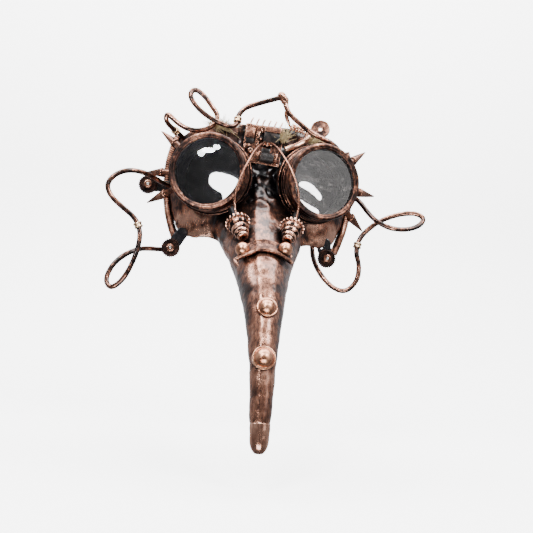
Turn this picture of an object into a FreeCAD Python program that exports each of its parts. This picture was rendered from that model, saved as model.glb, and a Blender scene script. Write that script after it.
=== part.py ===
import FreeCAD, Part
import math
import os

# Plague doctor mask with cup goggles, in millimetres.
# +Z is up, the mask looks along -Y, and +X is on the right of somebody who faces the mask.
# The origin is on the inside of the shell, at the nose bridge midway between the goggles.

os.makedirs("parts", exist_ok=True)

Vector = FreeCAD.Vector
X_AXIS = Vector(1, 0, 0)
Z_AXIS = Vector(0, 0, 1)
FORWARD = Vector(0, -1, 0)
SIDES = {"left": -1, "right": 1}

# Driving dimensions: face shell
WALL = 2.0
FACE_HALF_WIDTH = 80.0          # semi-axis of the face curve, across
FACE_DEPTH = 44.0               # semi-axis of the face curve, front to back
FACE_SPAN_DEG = 76.0            # how far the face curve runs each side of the middle
# levels of the face curve: z, y of its front
FACE_LEVELS = [(-60, 4.0), (-52, 3.0), (-30, 0.0), (-5, -2.0), (20, -2.5), (38, -1.5), (56, 1.0)]
# left half of the face's edge, seen from in front: x, z
OUTLINE = [(-25, -58), (-29.5, -52.5), (-36, -48.8), (-44, -48.2), (-54, -48.4), (-62, -45.6), (-68, -37),
           (-73.8, -18), (-75, 0), (-74.2, 20), (-68, 34), (-52, 42), (-28, 45.5), (0, 46.5)]
# hand-cut eye holes, each a smooth closed edge through x, z points
EYE_HOLES = {
    "left": [(-42.5, -1.8), (-41.4, 2.9), (-34.3, 4.2), (-27.4, 2.9), (-20.7, -1.0), (-18.2, -8.0),
             (-20.6, -15.5), (-26.5, -19.6), (-30.4, -18.6), (-31.2, -12.2)],
    "right": [(22.0, -8.0), (23.8, -1.4), (29.4, 2.0), (34.5, 3.2), (40.6, 2.2), (46.0, -1.4), (49.6, -6.6),
              (50.4, -13.0), (47.4, -20.0), (39.0, -23.0), (30.0, -21.6), (24.0, -15.8)],
}
# the bar left across the right hole: its upper and lower edges, x, z
BAR_TOP = [(14.0, 4.0), (24.0, 2.3), (29.8, 0.8), (38.7, -2.1), (44.2, -5.3), (58.0, -13.0)]
BAR_BOTTOM = [(58.0, -21.0), (47.9, -16.7), (37.8, -12.8), (32.7, -10.8), (24.0, -8.6), (14.0, -7.0)]

# Driving dimensions: beak, as ridge and underside points in the middle plane
# ridge y, ridge z, underside y, underside z, half width, how much the ridge is pinched
BEAK = [
    (6.0, 10.0, 6.0, -60.0, 36.5, 0.50),
    (-11.0, -4.0, -3.0, -61.5, 34.0, 0.45),
    (-28.0, -23.0, -13.5, -66.0, 31.6, 0.35),
    (-47.0, -42.0, -26.0, -73.0, 26.5, 0.25),
    (-66.0, -61.5, -42.0, -86.0, 20.4, 0.18),
    (-82.0, -80.5, -58.0, -98.5, 16.4, 0.14),
    (-95.0, -100.5, -73.0, -112.5, 13.1, 0.12),
    (-104.0, -121.0, -86.0, -127.5, 10.4, 0.10),
    (-110.0, -141.0, -95.0, -144.5, 8.6, 0.08),
    (-114.0, -160.0, -100.5, -162.0, 7.7, 0.06),
    (-116.2, -173.5, -104.0, -174.5, 7.1, 0.05),
]
TIP_ENDS = [(-117.0, -180.0, -106.6, -180.5, 6.3, 0.04), (-116.6, -185.0, -109.0, -185.3, 4.4, 0.02),
            (-114.8, -187.4, -111.2, -187.5, 2.0, 0.0)]
CAVITY_STATIONS = 10

# Driving dimensions: goggles, in a local frame with z out of the front ring
GOGGLE_CENTRE = Vector(45.8, -28.0, 0.0)
TOE_OUT_DEG = 15.0
BEZEL_R = 30.0
BEZEL_LENGTH = 11.0
BEZEL_OPENING_R = 25.2
LIP = 2.0
NECK_R = 28.0
THREAD_GAP = 0.06
NECK_FRONT = -6.0
CUP_BORE_R = 25.0
CUP_REACH = 52.0
# cup outline behind the neck: radius, front z, back z
CUP_RINGS = [(30.0, -12.2, -14.6), (27.6, -14.6, -16.4), (30.0, -16.4, -18.0), (27.6, -18.0, -19.6),
             (31.5, -19.6, -23.6), (28.5, -23.6, -52.0)]
GLASS_R = 27.6
GLASS = (-2.1, -4.3)
GASKET = (-4.3, -5.7)
GASKET_BORE_R = 25.4
SPIKE_POST_R = 2.3
SPIKE_POST_LENGTH = 14.5
SPIKE_CONE_R = 3.4
SPIKE_LENGTH = 31.5
SPIKE_SEAT_R = 27.0
SPIKE_Z = -16.6
SPIKE_LEAN_DEG = 20.0
SPIKE_ANGLES = {"left": (143, 179, 203), "right": (36, -1, -32)}

# Driving dimensions: trim
WIRE_R = 1.8
THIN_WIRE_R = 0.6
FERRULE_R = 2.9
STRIP_R = 3.3
WHEEL_R = 7.7
WHEEL_WIDTH = 4.5
WHEEL_PIN_R = 2.0
RUNNING_GAP = 0.05
WHEEL_SIDE_GAP = 0.4
BRACKET_T = 2.0
GEAR_R = 9.0
GEAR_TOOTH = 1.5
GEAR_TEETH = 16
GEAR_CENTRE = Vector(20.5, -44.5, -39.0)
# stepped cone on each gear: radius, start, end, with narrow necks between the steps
CONE_STEPS = [(7.6, 2.0, 6.2), (6.0, 6.2, 7.0), (6.6, 7.0, 10.4), (5.0, 10.4, 11.2), (5.4, 11.2, 14.2),
              (3.8, 14.2, 14.9), (4.2, 14.9, 17.2)]
BALL_R = 5.2
EYELET_X = 70.5
EYELET_Z = 6.0
EYELET_BORE_R = 2.0
EYELET_BARREL_R = 3.0
EYELET_FLANGE_R = 4.6
EYELET_FLANGE_T = 1.4
EYELET_LENGTH = 4.4


def unit(v):
    return Vector(v).normalize()


def save(name, shape):
    shape.exportStep("parts/" + name + ".step")
    solids = shape.Solids
    state = "valid" if shape.isValid() else "NOT VALID"
    print(name, len(solids), "solid(s)", round(shape.Volume, 1), "mm3", state)


def largest(shape):
    return max(shape.Solids, key=lambda solid: solid.Volume)


def placed(shape, origin, direction):
    """The shape with its local z turned to the direction and its origin moved."""
    moved = shape.copy()
    moved.Placement = FreeCAD.Placement(origin, FreeCAD.Rotation(Z_AXIS, direction)).multiply(shape.Placement)
    return moved


def disc(radius, z_front, z_back):
    return Part.makeCylinder(radius, z_front - z_back, Vector(0, 0, z_back))


def tube_path(points):
    """Straight runs joined by tangent arcs."""
    edges = []
    start = points[0]
    for before, corner, after in zip(points, points[1:], points[2:]):
        way_in = corner - before
        way_out = after - corner
        reach = 0.45 * min(way_in.Length, way_out.Length)
        half_turn = way_in.getAngle(way_out) / 2
        radius = reach / math.tan(half_turn)
        bisector = unit(unit(way_out) - unit(way_in))
        arc_start = corner - unit(way_in) * reach
        arc_end = corner + unit(way_out) * reach
        arc_middle = corner + bisector * (radius / math.cos(half_turn) - radius)
        edges.append(Part.LineSegment(start, arc_start).toShape())
        edges.append(Part.Arc(arc_start, arc_middle, arc_end).toShape())
        start = arc_end
    edges.append(Part.LineSegment(start, points[-1]).toShape())
    return Part.Wire(edges)


def tube(points, radius, name):
    path = tube_path(points)
    section = Part.Wire(Part.makeCircle(radius, points[0], points[1] - points[0]))
    solid = path.makePipeShell([section], True, False)
    expected = math.pi * radius ** 2 * path.Length
    print(name, "length", round(path.Length, 1), "volume ratio", round(solid.Volume / expected, 3))
    return solid


def run_middle(points, index):
    """Middle and direction of one run of a route."""
    run = points[index + 1] - points[index]
    return points[index] + run * 0.5, unit(run)


def ferrule(points, index, length):
    middle, direction = run_middle(points, index)
    collar = disc(FERRULE_R, length / 2, -length / 2).cut(disc(WIRE_R, length, -length))
    return placed(collar, middle, direction)


def toothed_disc(tip_r, root_r, teeth, thickness):
    """A disc with square-topped teeth, from z = 0 up."""
    corners = []
    pitch = 2 * math.pi / teeth
    for tooth in range(teeth):
        for share, radius in ((0.0, root_r), (0.18, tip_r), (0.50, tip_r), (0.68, root_r)):
            angle = (tooth + share) * pitch
            corners.append(Vector(radius * math.cos(angle), radius * math.sin(angle), 0))
    corners.append(corners[0])
    return Part.Face(Part.makePolygon(corners)).extrude(Vector(0, 0, thickness))


def smooth_curve(points):
    curve = Part.BSplineCurve()
    curve.interpolate(points)
    return curve.toShape()


# ---- face shell ----------------------------------------------------------------------------------

def face_arc(z, front_y, inset):
    """Half an ellipse in plan, seen from above, from the left edge to the right edge."""
    across = FACE_HALF_WIDTH - inset
    depth = FACE_DEPTH - inset
    steps = 12
    points = []
    for step in range(steps + 1):
        t = math.radians(FACE_SPAN_DEG * (2 * step / steps - 1))
        points.append(Vector(across * math.sin(t), front_y + inset + depth * (1 - math.cos(t)), z))
    return points


def face_band():
    wires = []
    for z, front_y in FACE_LEVELS:
        outer = face_arc(z, front_y, 0)
        inner = face_arc(z, front_y, WALL)
        edges = [smooth_curve(outer), Part.makeLine(outer[-1], inner[-1]), smooth_curve(inner[::-1]),
                 Part.makeLine(inner[0], outer[0])]
        wires.append(Part.Wire(edges))
    return Part.makeLoft(wires, True, False)


def face_space(inset, y_far):
    """Everything between a face curve and the plane y = y_far."""
    wires = []
    for z, front_y in FACE_LEVELS:
        arc = face_arc(z, front_y, inset)
        far_right = Vector(arc[-1].x, y_far, z)
        far_left = Vector(arc[0].x, y_far, z)
        edges = [smooth_curve(arc), Part.makeLine(arc[-1], far_right), Part.makeLine(far_right, far_left),
                 Part.makeLine(far_left, arc[0])]
        wires.append(Part.Wire(edges))
    return Part.makeLoft(wires, True, False)


def outline_prism():
    half = [Vector(x, -60, z) for x, z in OUTLINE]
    mirrored = [Vector(-p.x, p.y, p.z) for p in half[-2::-1]]
    points = half + mirrored
    wire = Part.Wire([smooth_curve(points), Part.makeLine(points[-1], points[0])])
    return Part.Face(wire).extrude(Vector(0, 160, 0))


def beak_section(station, inset):
    ridge_y, ridge_z, under_y, under_z, half_width, pinch = station
    ridge = Vector(0, ridge_y, ridge_z)
    under = Vector(0, under_y, under_z)
    upward = unit(ridge - under)
    centre = (ridge + under) * 0.5
    half_height = (ridge - under).Length / 2 - inset
    angles = [math.radians(22.5 * step) for step in range(9)]
    peak = max(math.sin(a) * (1 - pinch * math.cos(a)) for a in angles)
    halves = []
    for side in (1, -1):
        points = []
        for a in angles:
            width = (half_width - inset) * math.sin(a) * (1 - pinch * math.cos(a)) / peak
            points.append(centre + upward * half_height * math.cos(a) + X_AXIS * side * width)
        halves.append(points)
    right, left = halves
    curves = []
    for points, side in ((right, 1), (left[::-1], -1)):
        curve = Part.BSplineCurve()
        curve.interpolate(Points=points, InitialTangent=X_AXIS * side, FinalTangent=X_AXIS * -side)
        curves.append(curve.toShape())
    return Part.Wire(curves)


def beak_loft(stations, inset):
    return Part.makeLoft([beak_section(station, inset) for station in stations], True, False)


def eye_hole(points):
    """A prism along y whose section is a smooth closed line through x, z points."""
    edge = Part.BSplineCurve()
    edge.interpolate(Points=[Vector(x, -30, z) for x, z in points], PeriodicFlag=True)
    return Part.Face(Part.Wire(edge.toShape())).extrude(Vector(0, 80, 0))


def hole_bar():
    """A prism along y between the bar's two smooth edges."""
    top = [Vector(x, -30, z) for x, z in BAR_TOP]
    bottom = [Vector(x, -30, z) for x, z in BAR_BOTTOM]
    edges = [smooth_curve(top), Part.makeLine(top[-1], bottom[0]), smooth_curve(bottom),
             Part.makeLine(bottom[-1], top[0])]
    return Part.Face(Part.Wire(edges)).extrude(Vector(0, 80, 0))


def front_point(body, x, z):
    """The frontmost point of a body on the line through x and z."""
    hit = body.common(Part.makeLine(Vector(x, -220, z), Vector(x, 80, z)))
    return min((vertex.Point for vertex in hit.Vertexes), key=lambda p: p.y)


def front_normal(body, x, z):
    step = 1.0
    across = front_point(body, x + step, z) - front_point(body, x - step, z)
    upward = front_point(body, x, z + step) - front_point(body, x, z - step)
    normal = unit(across.cross(upward))
    return normal if normal.y < 0 else normal * -1


band = face_band()
beak_outer = beak_loft(BEAK, 0)
beak_inner = beak_loft(BEAK[:CAVITY_STATIONS], WALL)
behind_face = face_space(WALL / 2, 120)
outer_body = band.common(outline_prism()).fuse(beak_outer.cut(behind_face))
shell = outer_body.cut(beak_inner)
shell = shell.cut(eye_hole(EYE_HOLES["left"]))
shell = shell.cut(eye_hole(EYE_HOLES["right"]).cut(hole_bar()))


# ---- strap eyelets -------------------------------------------------------------------------------

def eyelet(side):
    at = front_point(outer_body, side * EYELET_X, EYELET_Z)
    normal = front_normal(outer_body, side * EYELET_X, EYELET_Z)
    middle = at - normal * (WALL / 2)
    half = EYELET_LENGTH / 2
    barrel = disc(EYELET_BARREL_R, half, -half)
    flange = disc(EYELET_FLANGE_R, half, half - EYELET_FLANGE_T)
    back_flange = disc(EYELET_FLANGE_R, EYELET_FLANGE_T - half, -half)
    blank = placed(barrel.fuse([flange, back_flange]), middle, normal)
    bore = placed(disc(EYELET_BORE_R, 8, -8), middle, normal)
    print("eyelet", side, "centre", middle, "axis", normal)
    return blank, bore


for name, side in SIDES.items():
    blank, bore = eyelet(side)
    shell = largest(shell.cut(blank))
    save("strap_eyelet_" + name, blank.cut(bore))
save("mask_shell", shell)


# ---- goggles -------------------------------------------------------------------------------------

def goggle_place(side):
    toe = math.radians(TOE_OUT_DEG)
    out = Vector(side * math.sin(toe), -math.cos(toe), 0)
    across = Vector(math.cos(toe), side * math.sin(toe), 0)
    centre = Vector(side * GOGGLE_CENTRE.x, GOGGLE_CENTRE.y, GOGGLE_CENTRE.z)
    return FreeCAD.Placement(centre, FreeCAD.Rotation(across, Z_AXIS, out, "ZXY"))


def in_goggle(shape, side):
    moved = shape.copy()
    moved.Placement = goggle_place(side).multiply(shape.Placement)
    return moved


def cup_blank():
    blank = disc(NECK_R, NECK_FRONT, CUP_RINGS[0][1])
    for radius, front, back in CUP_RINGS:
        blank = blank.fuse(disc(radius, front, back))
    return blank.cut(disc(CUP_BORE_R, NECK_FRONT + 1, -CUP_REACH - 1)).removeSplitter()


def bezel():
    ring = disc(BEZEL_R, 0, -BEZEL_LENGTH)
    ring = ring.cut(disc(NECK_R + THREAD_GAP, -LIP, -BEZEL_LENGTH - 1))
    flare = Part.makeCone(BEZEL_OPENING_R, BEZEL_OPENING_R + 1.6, LIP + 0.02, Vector(0, 0, -LIP - 0.01))
    groove = disc(BEZEL_R + 1, -4.2, -5.0).cut(disc(BEZEL_R - 0.6, -4.2, -5.0))
    return ring.cut(flare).cut(groove)


def spike(angle_deg):
    angle = math.radians(angle_deg)
    lean = math.radians(SPIKE_LEAN_DEG)
    radial = Vector(math.cos(angle), math.sin(angle), 0)
    direction = radial * math.cos(lean) - Z_AXIS * math.sin(lean)
    seat = radial * SPIKE_SEAT_R + Z_AXIS * SPIKE_Z
    post = Part.makeCylinder(SPIKE_POST_R, SPIKE_POST_LENGTH)
    cone_length = SPIKE_LENGTH - SPIKE_POST_LENGTH
    cone = Part.makeCone(SPIKE_CONE_R, 0.4, cone_length, Vector(0, 0, SPIKE_POST_LENGTH))
    return placed(post.fuse(cone), seat, direction)


in_front = face_space(0, -90)
cups = []
for name, side in SIDES.items():
    cup = in_goggle(cup_blank(), side).common(in_front).cut(beak_outer)
    cup = largest(cup)
    cups.append(cup)
    save("goggle_cup_" + name, cup)
    save("goggle_bezel_" + name, in_goggle(bezel(), side))
    save("goggle_lens_" + name, in_goggle(disc(GLASS_R, *GLASS), side))
    gasket = disc(GLASS_R, *GASKET).cut(disc(GASKET_BORE_R, GASKET[0] + 1, GASKET[1] - 1))
    save("lens_gasket_" + name, in_goggle(gasket, side))
    spikes = [largest(in_goggle(spike(angle), side).cut(cup)) for angle in SPIKE_ANGLES[name]]
    save("goggle_spikes_" + name, Part.makeCompound(spikes))


# ---- beak fittings -------------------------------------------------------------------------------

save("beak_tip_cap", largest(beak_loft([BEAK[-1]] + TIP_ENDS, 0)))


def dome_stud(dome_r, flange_r, dome_rise, at, normal, sink):
    """A domed head on a thin flange, sunk until its rim meets the beak."""
    flange = disc(flange_r, 1.2, -sink)
    dome = Part.makeSphere(dome_r, Vector(0, 0, 1.2 - dome_r + dome_rise))
    dome = dome.common(disc(dome_r + 1, dome_rise + 2, 0))
    return placed(flange.fuse(dome), at, normal)


def beak_stud(name, x, z, dome_r, flange_r):
    at = front_point(beak_outer, x, z)
    normal = front_normal(beak_outer, x, z)
    stud = dome_stud(dome_r, flange_r, dome_r * 0.75, at, normal, 3.5)
    save(name, largest(stud.cut(beak_outer)))


# where the two studs sit on the ridge: x, z, dome radius, flange radius
BEAK_STUDS = {"beak_stud_upper": (0.6, -99.6, 6.2, 7.0), "beak_stud_lower": (-0.4, -132.0, 6.5, 7.8)}
for name, stud_sizes in BEAK_STUDS.items():
    beak_stud(name, *stud_sizes)

# A saddle strap over the ridge, with a short tail on its left side
STRAP_T = 1.6
STRAP_WIDTH = 9.0
STRAP_HALF_SPAN = 17.0
strap_middle = Vector(-0.4, -60.5, -57.2)
strap_along = Vector(0, -0.71, -0.70)
strap_slab = placed(Part.makeBox(2 * STRAP_HALF_SPAN, 60, STRAP_WIDTH, Vector(-STRAP_HALF_SPAN, -30, 0)),
                    strap_middle - strap_along * (STRAP_WIDTH / 2), strap_along)
strap_tail = Part.makeBox(7.5, 40, 9.0, Vector(-18.5, -72, -77.0))
strap = beak_loft(BEAK[1:7], -STRAP_T).cut(beak_loft(BEAK, 0))
above = Part.makeBox(80, 120, 60, Vector(-40, -130, -79))
strap = largest(strap.common(strap_slab.fuse(strap_tail)).common(above))
save("beak_strap", strap)

strap_and_beak = beak_outer.fuse(strap)
ball_middles = []
BALL_PLACES = {"left": (-14.6, -61.2), "right": (12.6, -58.8)}
for name, (ball_x, ball_z) in BALL_PLACES.items():
    at = front_point(strap_and_beak, ball_x, ball_z)
    normal = front_normal(beak_outer, ball_x, ball_z)
    ball_middles.append(at + normal * 2.9)
    ball = Part.makeSphere(BALL_R, ball_middles[-1])
    save("strap_stud_" + name, largest(ball.cut(beak_outer)))

# Toothed gears with stepped cones, one on each flank of the beak
balls = Part.makeCompound([Part.makeSphere(BALL_R + 0.1, middle) for middle in ball_middles])
for name, side in SIDES.items():
    centre = Vector(side * GEAR_CENTRE.x, GEAR_CENTRE.y, GEAR_CENTRE.z)
    direction = unit(Vector(-side * 0.26, -0.68, -0.68))
    gear = toothed_disc(GEAR_R, GEAR_R - GEAR_TOOTH, GEAR_TEETH, 2.0)
    hub = Part.makeCylinder(4.0, 16, Vector(0, 0, -16))
    save("nostril_gear_" + name, largest(placed(gear.fuse(hub), centre, direction).cut(beak_outer)))
    cone = None
    for radius, low, high in CONE_STEPS:
        step = Part.makeCylinder(radius, high - low, Vector(0, 0, low))
        cone = step if cone is None else cone.fuse(step)
    save("step_cone_" + name, largest(placed(cone, centre, direction).cut(strap_and_beak).cut(balls)))


# ---- forehead plate and its parts ----------------------------------------------------------------

PLATE = {"x": -2.6, "z": 29.0, "width": 31.0, "height": 31.0, "thickness": 1.6,
         "turn_deg": 4.5, "lean_deg": 1.5}
RELAY_RIGHT = (5.8, 8.2, 13.0, 9.5, 6.0)        # x, z, width, height, depth on the plate
RELAY_LEFT = (-11.4, 7.6, 6.8, 8.4, 5.0)
CAPACITORS = [(-3.0, 4.2, 2.2, 4.5), (-9.6, -6.4, 2.2, 4.0), (-13.0, -3.4, 1.5, 2.5)]    # x, z, radius, depth
RESISTOR_R = 3.6
RESISTOR_LENGTH = 10.6
PIN_COUNT = 6
PIN_PITCH = 4.0
NUT_X = 3.4
NUT_Z = 1.0
plate_back_y = front_point(outer_body, 0, PLATE["z"]).y - 0.35
plate_front = Vector(PLATE["x"], plate_back_y - PLATE["thickness"], PLATE["z"])


def on_plate(shape):
    """Shapes drawn with x across, z up and -y out of the plate's front face."""
    moved = shape.copy()
    moved.rotate(Vector(0, 0, 0), Vector(0, 1, 0), PLATE["turn_deg"])
    moved.rotate(Vector(0, 0, 0), X_AXIS, -PLATE["lean_deg"])
    moved.translate(plate_front)
    return moved


def plate_block(x, z, width, height, depth):
    return Part.makeBox(width, depth, height, Vector(x - width / 2, -depth, z - height / 2))


def plate_post(x, z, radius, depth):
    return Part.makeCylinder(radius, depth, Vector(x, 0, z), FORWARD)


plate = Part.makeBox(PLATE["width"], PLATE["thickness"], PLATE["height"],
                     Vector(-PLATE["width"] / 2, 0, -PLATE["height"] / 2))
save("forehead_plate", largest(on_plate(plate).cut(cups[0]).cut(cups[1])))
relay_right = on_plate(plate_block(*RELAY_RIGHT))
save("relay_left", on_plate(plate_block(*RELAY_LEFT)))
save("relay_right", relay_right)
save("capacitors", on_plate(Part.makeCompound([plate_post(*place) for place in CAPACITORS])))
resistor = Part.makeCylinder(RESISTOR_R, RESISTOR_LENGTH, Vector(-1.0, -RESISTOR_R, -11.2), X_AXIS)
save("ribbed_resistor", on_plate(resistor))
pin_rail = plate_block(-2.0, 14.2, 24.0, 2.2, 2.0)
pins = [plate_post(-12.0 + PIN_PITCH * index, 14.2, 0.5, 5.5) for index in range(PIN_COUNT)]
pins = [pin.cut(pin_rail) for pin in pins]
save("pin_header", on_plate(pin_rail))
save("header_pins", on_plate(Part.makeCompound(pins)))
nut = plate_post(NUT_X, NUT_Z, 2.4, 2.2).fuse(Part.makeSphere(2.0, Vector(NUT_X, -2.2, NUT_Z)))
crown_nut = on_plate(nut)
save("crown_nut", crown_nut)

# Thin bridge wires from the crown nut, over the inner rims of the goggles, down to the gears
for name, side in SIDES.items():
    nut_x = PLATE["x"] + NUT_X
    route = [Vector(nut_x + side * 2.2, -8.6, 30.4), Vector(nut_x + side * 5.6, -15.0, 27.4),
             Vector(side * 11.0, -26.5, 18.5), Vector(side * 15.2, -38.2, 8.4),
             Vector(side * 20.0, -44.4, -3.2), Vector(side * 23.4, -46.0, -14.5),
             Vector(side * 24.2, -46.4, -25.5), Vector(side * 21.8, -48.0, -35.2)]
    save("bridge_wire_" + name, tube(route, THIN_WIRE_R, "bridge_wire_" + name).cut(crown_nut))

# Brow trim on the right: a copper tube, a coil and a washer
brow_route = [Vector(14.6, -6.0, 25.6), Vector(22.0, -7.0, 27.4), Vector(29.5, -5.4, 32.4),
              Vector(34.5, -2.4, 38.2)]
brow_tube = tube(brow_route, 2.4, "brow_tube").cut(outer_body)
save("brow_tube", largest(brow_tube))
coil_start = Vector(17.6, -3.6, 45.4)
coil_axis = unit(Vector(15.4, 1.2, -3.6))
save("brow_coil", largest(placed(Part.makeCylinder(2.3, 15.5), coil_start, coil_axis).cut(outer_body)))
washer = disc(7.8, 0.8, -0.8).cut(disc(1.3, 2, -2))
washer = placed(washer, Vector(44.6, 0.6, 45.0), unit(Vector(-0.25, -1, 0.12)))
save("brow_washer", largest(washer.cut(outer_body)))

# Bundles of jute fibre, as plain lumps
JUTE = {"left": (Vector(-38.0, -0.5, 43.2), 9.0, 3.6, 5.0),
        "right": (Vector(14.2, -6.6, 38.6), 3.0, 2.6, 7.0)}
for name, (middle, across, deep, high) in JUTE.items():
    stretch = FreeCAD.Matrix()
    stretch.scale(across, deep, high)
    lump = Part.makeSphere(1.0).transformGeometry(stretch)
    lump.translate(middle)
    save("jute_tuft_" + name, largest(lump.cut(outer_body.fuse(relay_right))))


# ---- side strips ---------------------------------------------------------------------------------

strip_half = [(70.5, 21.8, 35.0), (76.4, 27.0, 20.0), (77.4, 29.2, 1.0), (76.3, 28.3, -18.0),
              (71.2, 24.6, -38.0), (65.6, 21.9, -51.0)]
for name, side in SIDES.items():
    route = [Vector(side * x, y, z) for x, y, z in strip_half]
    save("side_strip_" + name, tube(route, STRIP_R, "side_strip_" + name))


# ---- knurled wheels on their brackets ------------------------------------------------------------

def wheel():
    """A knurled wheel with a dished face, centred on its width."""
    half = WHEEL_WIDTH / 2
    rim = toothed_disc(WHEEL_R, WHEEL_R - 0.7, 26, WHEEL_WIDTH)
    rim.translate(Vector(0, 0, -half))
    dish = disc(WHEEL_R - 1.9, half + 1, half - 1.2).cut(disc(3.6, half + 2, half - 2))
    return rim.cut(dish).cut(disc(WHEEL_PIN_R + RUNNING_GAP, half + 1, -half - 1))


def wheel_pin():
    """Pin through the wheel with a round head in front and a foot in the bracket."""
    front = WHEEL_WIDTH / 2 + WHEEL_SIDE_GAP
    shaft = disc(WHEEL_PIN_R, front, -front - BRACKET_T)
    head = disc(3.3, front + 1.6, front).cut(disc(1.3, front + 2, front + 0.7))
    return shaft.fuse(head)


def round_ended_plate(ends, y_front):
    """A flat plate made of two round ends and the flat between them, facing -y."""
    (x1, z1, r1), (x2, z2, r2) = ends
    back = Vector(0, 1, 0)
    plate_shape = Part.makeCylinder(r1, BRACKET_T, Vector(x1, y_front, z1), back)
    plate_shape = plate_shape.fuse(Part.makeCylinder(r2, BRACKET_T, Vector(x2, y_front, z2), back))
    along = unit(Vector(x2 - x1, 0, z2 - z1))
    beside = Vector(-along.z, 0, along.x)
    first = Vector(x1, y_front, z1)
    second = Vector(x2, y_front, z2)
    corners = [first + beside * r1, second + beside * r2, second - beside * r2, first - beside * r1]
    web = Part.Face(Part.makePolygon(corners + corners[:1])).extrude(back * BRACKET_T)
    return plate_shape.fuse(web)


# wheel centre x, z; bracket front y; the bracket's other end x, z, radius
WHEELS = {
    "left_upper": (-91.4, -8.0, 17.5, (-68.0, -7.6, 4.0)),
    "left_lower": (-69.2, -58.0, 14.6, (-61.5, -45.5, 5.0)),
    "right_lower": (58.4, -56.4, 14.2, (55.8, -45.0, 6.0)),
}
for name, (x, z, bracket_y, (end_x, end_z, end_r)) in WHEELS.items():
    wheel_middle = Vector(x, bracket_y - WHEEL_SIDE_GAP - WHEEL_WIDTH / 2, z)
    pin = placed(wheel_pin(), wheel_middle, FORWARD)
    bracket = round_ended_plate([(x, z, 5.0), (end_x, end_z, end_r)], bracket_y)
    bracket = largest(bracket.cut(pin).cut(shell))
    save("wheel_" + name, placed(wheel(), wheel_middle, FORWARD))
    save("wheel_pin_" + name, pin)
    save("wheel_bracket_" + name, bracket)


# ---- stiff wire tendrils -------------------------------------------------------------------------

# corners of each wire's route: x, y, z
LEFT_TENDRIL = [(-69.5, 19, -8), (-77, 10.5, -8), (-86, 2, -4), (-96, -8, -1.8), (-107, -13, -2.6),
                (-116, -15, -8), (-120.5, -16, -16), (-116.5, -16, -24.5), (-107, -16.5, -32),
                (-96.5, -17, -39.5), (-91.6, -18, -50), (-92.6, -21, -64), (-97.5, -22.5, -79.5),
                (-103.5, -21.5, -89.5), (-110.8, -19, -94.5), (-115.4, -16, -88), (-111.4, -13, -76),
                (-102, -10, -66.5), (-92, -3.5, -61.6), (-85.6, 5, -60.4), (-81, 13.2, -59.9),
                (-76, 18.4, -59.4), (-69.4, 18.3, -58.8)]
RIGHT_TENDRIL = [(66.6, 19.2, -0.6), (74.5, 8.2, -3.6), (79.5, -2, -8.5), (84.5, -10, -18),
                 (91.5, -15.5, -26), (102, -18, -30.6), (115, -18.5, -30.8), (126, -17, -26.5),
                 (130.6, -15, -19.5), (122.5, -12, -15.4), (109, -9.5, -18), (96.5, -7.5, -23.6),
                 (86.5, -8, -31.6), (79.4, -10, -40), (77, -11.5, -51), (80.5, -13.5, -62),
                 (79, -14.5, -74.5), (71, -14, -83.2), (62, -11, -81.6), (54, -5, -74), (49.2, 2, -65.5),
                 (46.8, 9, -57.5), (46.2, 14.4, -49.5), (46.0, 14.2, -43.0)]
CROWN_TENDRIL = [(-64, 18.5, 31), (-69, 11, 34.5), (-75.5, 3, 37), (-80.8, -3, 41), (-80, -4.5, 47),
                 (-73.5, -6, 41), (-65.5, -8.5, 35.4), (-56, -9.5, 33.6), (-47, -8, 36.6),
                 (-41, -6.5, 42.5), (-40, -6, 49), (-46.5, -6.5, 56.5), (-53, -7.5, 64),
                 (-60.5, -9, 67.2), (-63.6, -10.5, 61), (-58, -12, 52.6), (-49, -13, 45.6),
                 (-38.5, -13.5, 40.6), (-29, -12.5, 38.8), (-24.4, -10.5, 42.5), (-24.4, -9.2, 49.5),
                 (-19, -9, 56.4), (-8, -9, 61), (2.5, -9, 65), (8.6, -9, 67.4)]
BROW_TENDRIL = [(11.6, -9, 65.4), (13.6, -10, 58), (18.5, -11, 52), (26, -12, 46.4), (34, -13, 40.6),
                (42.5, -13.2, 37), (51, -12.4, 34.4), (58.4, -9.6, 29.4), (62.6, -8.0, 22)]

routes = {"tendril_left": LEFT_TENDRIL, "tendril_right": RIGHT_TENDRIL, "tendril_crown": CROWN_TENDRIL,
          "tendril_brow": BROW_TENDRIL}
BULB_R = 3.2
BULB_HALF = 2.2
bulb_ends = [Part.makeSphere(BULB_R, Vector(0, 0, z)) for z in (-BULB_HALF, BULB_HALF)]
bulb = Part.makeCylinder(BULB_R, 2 * BULB_HALF, Vector(0, 0, -BULB_HALF)).fuse(bulb_ends)
save("crown_bulb", placed(bulb, Vector(10.4, -9, 67.0), unit(Vector(0.62, 0, -0.78))))
for name, points in routes.items():
    save(name, tube([Vector(*point) for point in points], WIRE_R, name))

FERRULES = {"ferrule_left": ("tendril_left", 9, 5.0), "ferrule_right": ("tendril_right", 12, 5.0),
            "ferrule_crown": ("tendril_crown", 19, 4.6), "ferrule_corner": ("tendril_crown", 1, 4.0)}
for name, (owner, run, length) in FERRULES.items():
    route = [Vector(*point) for point in routes[owner]]
    save(name, ferrule(route, run, length))
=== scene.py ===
import random
from math import cos, hypot, pi, radians, sin, tau

import bmesh
import bpy
import numpy as np
from mathutils import Matrix, Vector, noise
from mathutils.bvhtree import BVHTree


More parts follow.
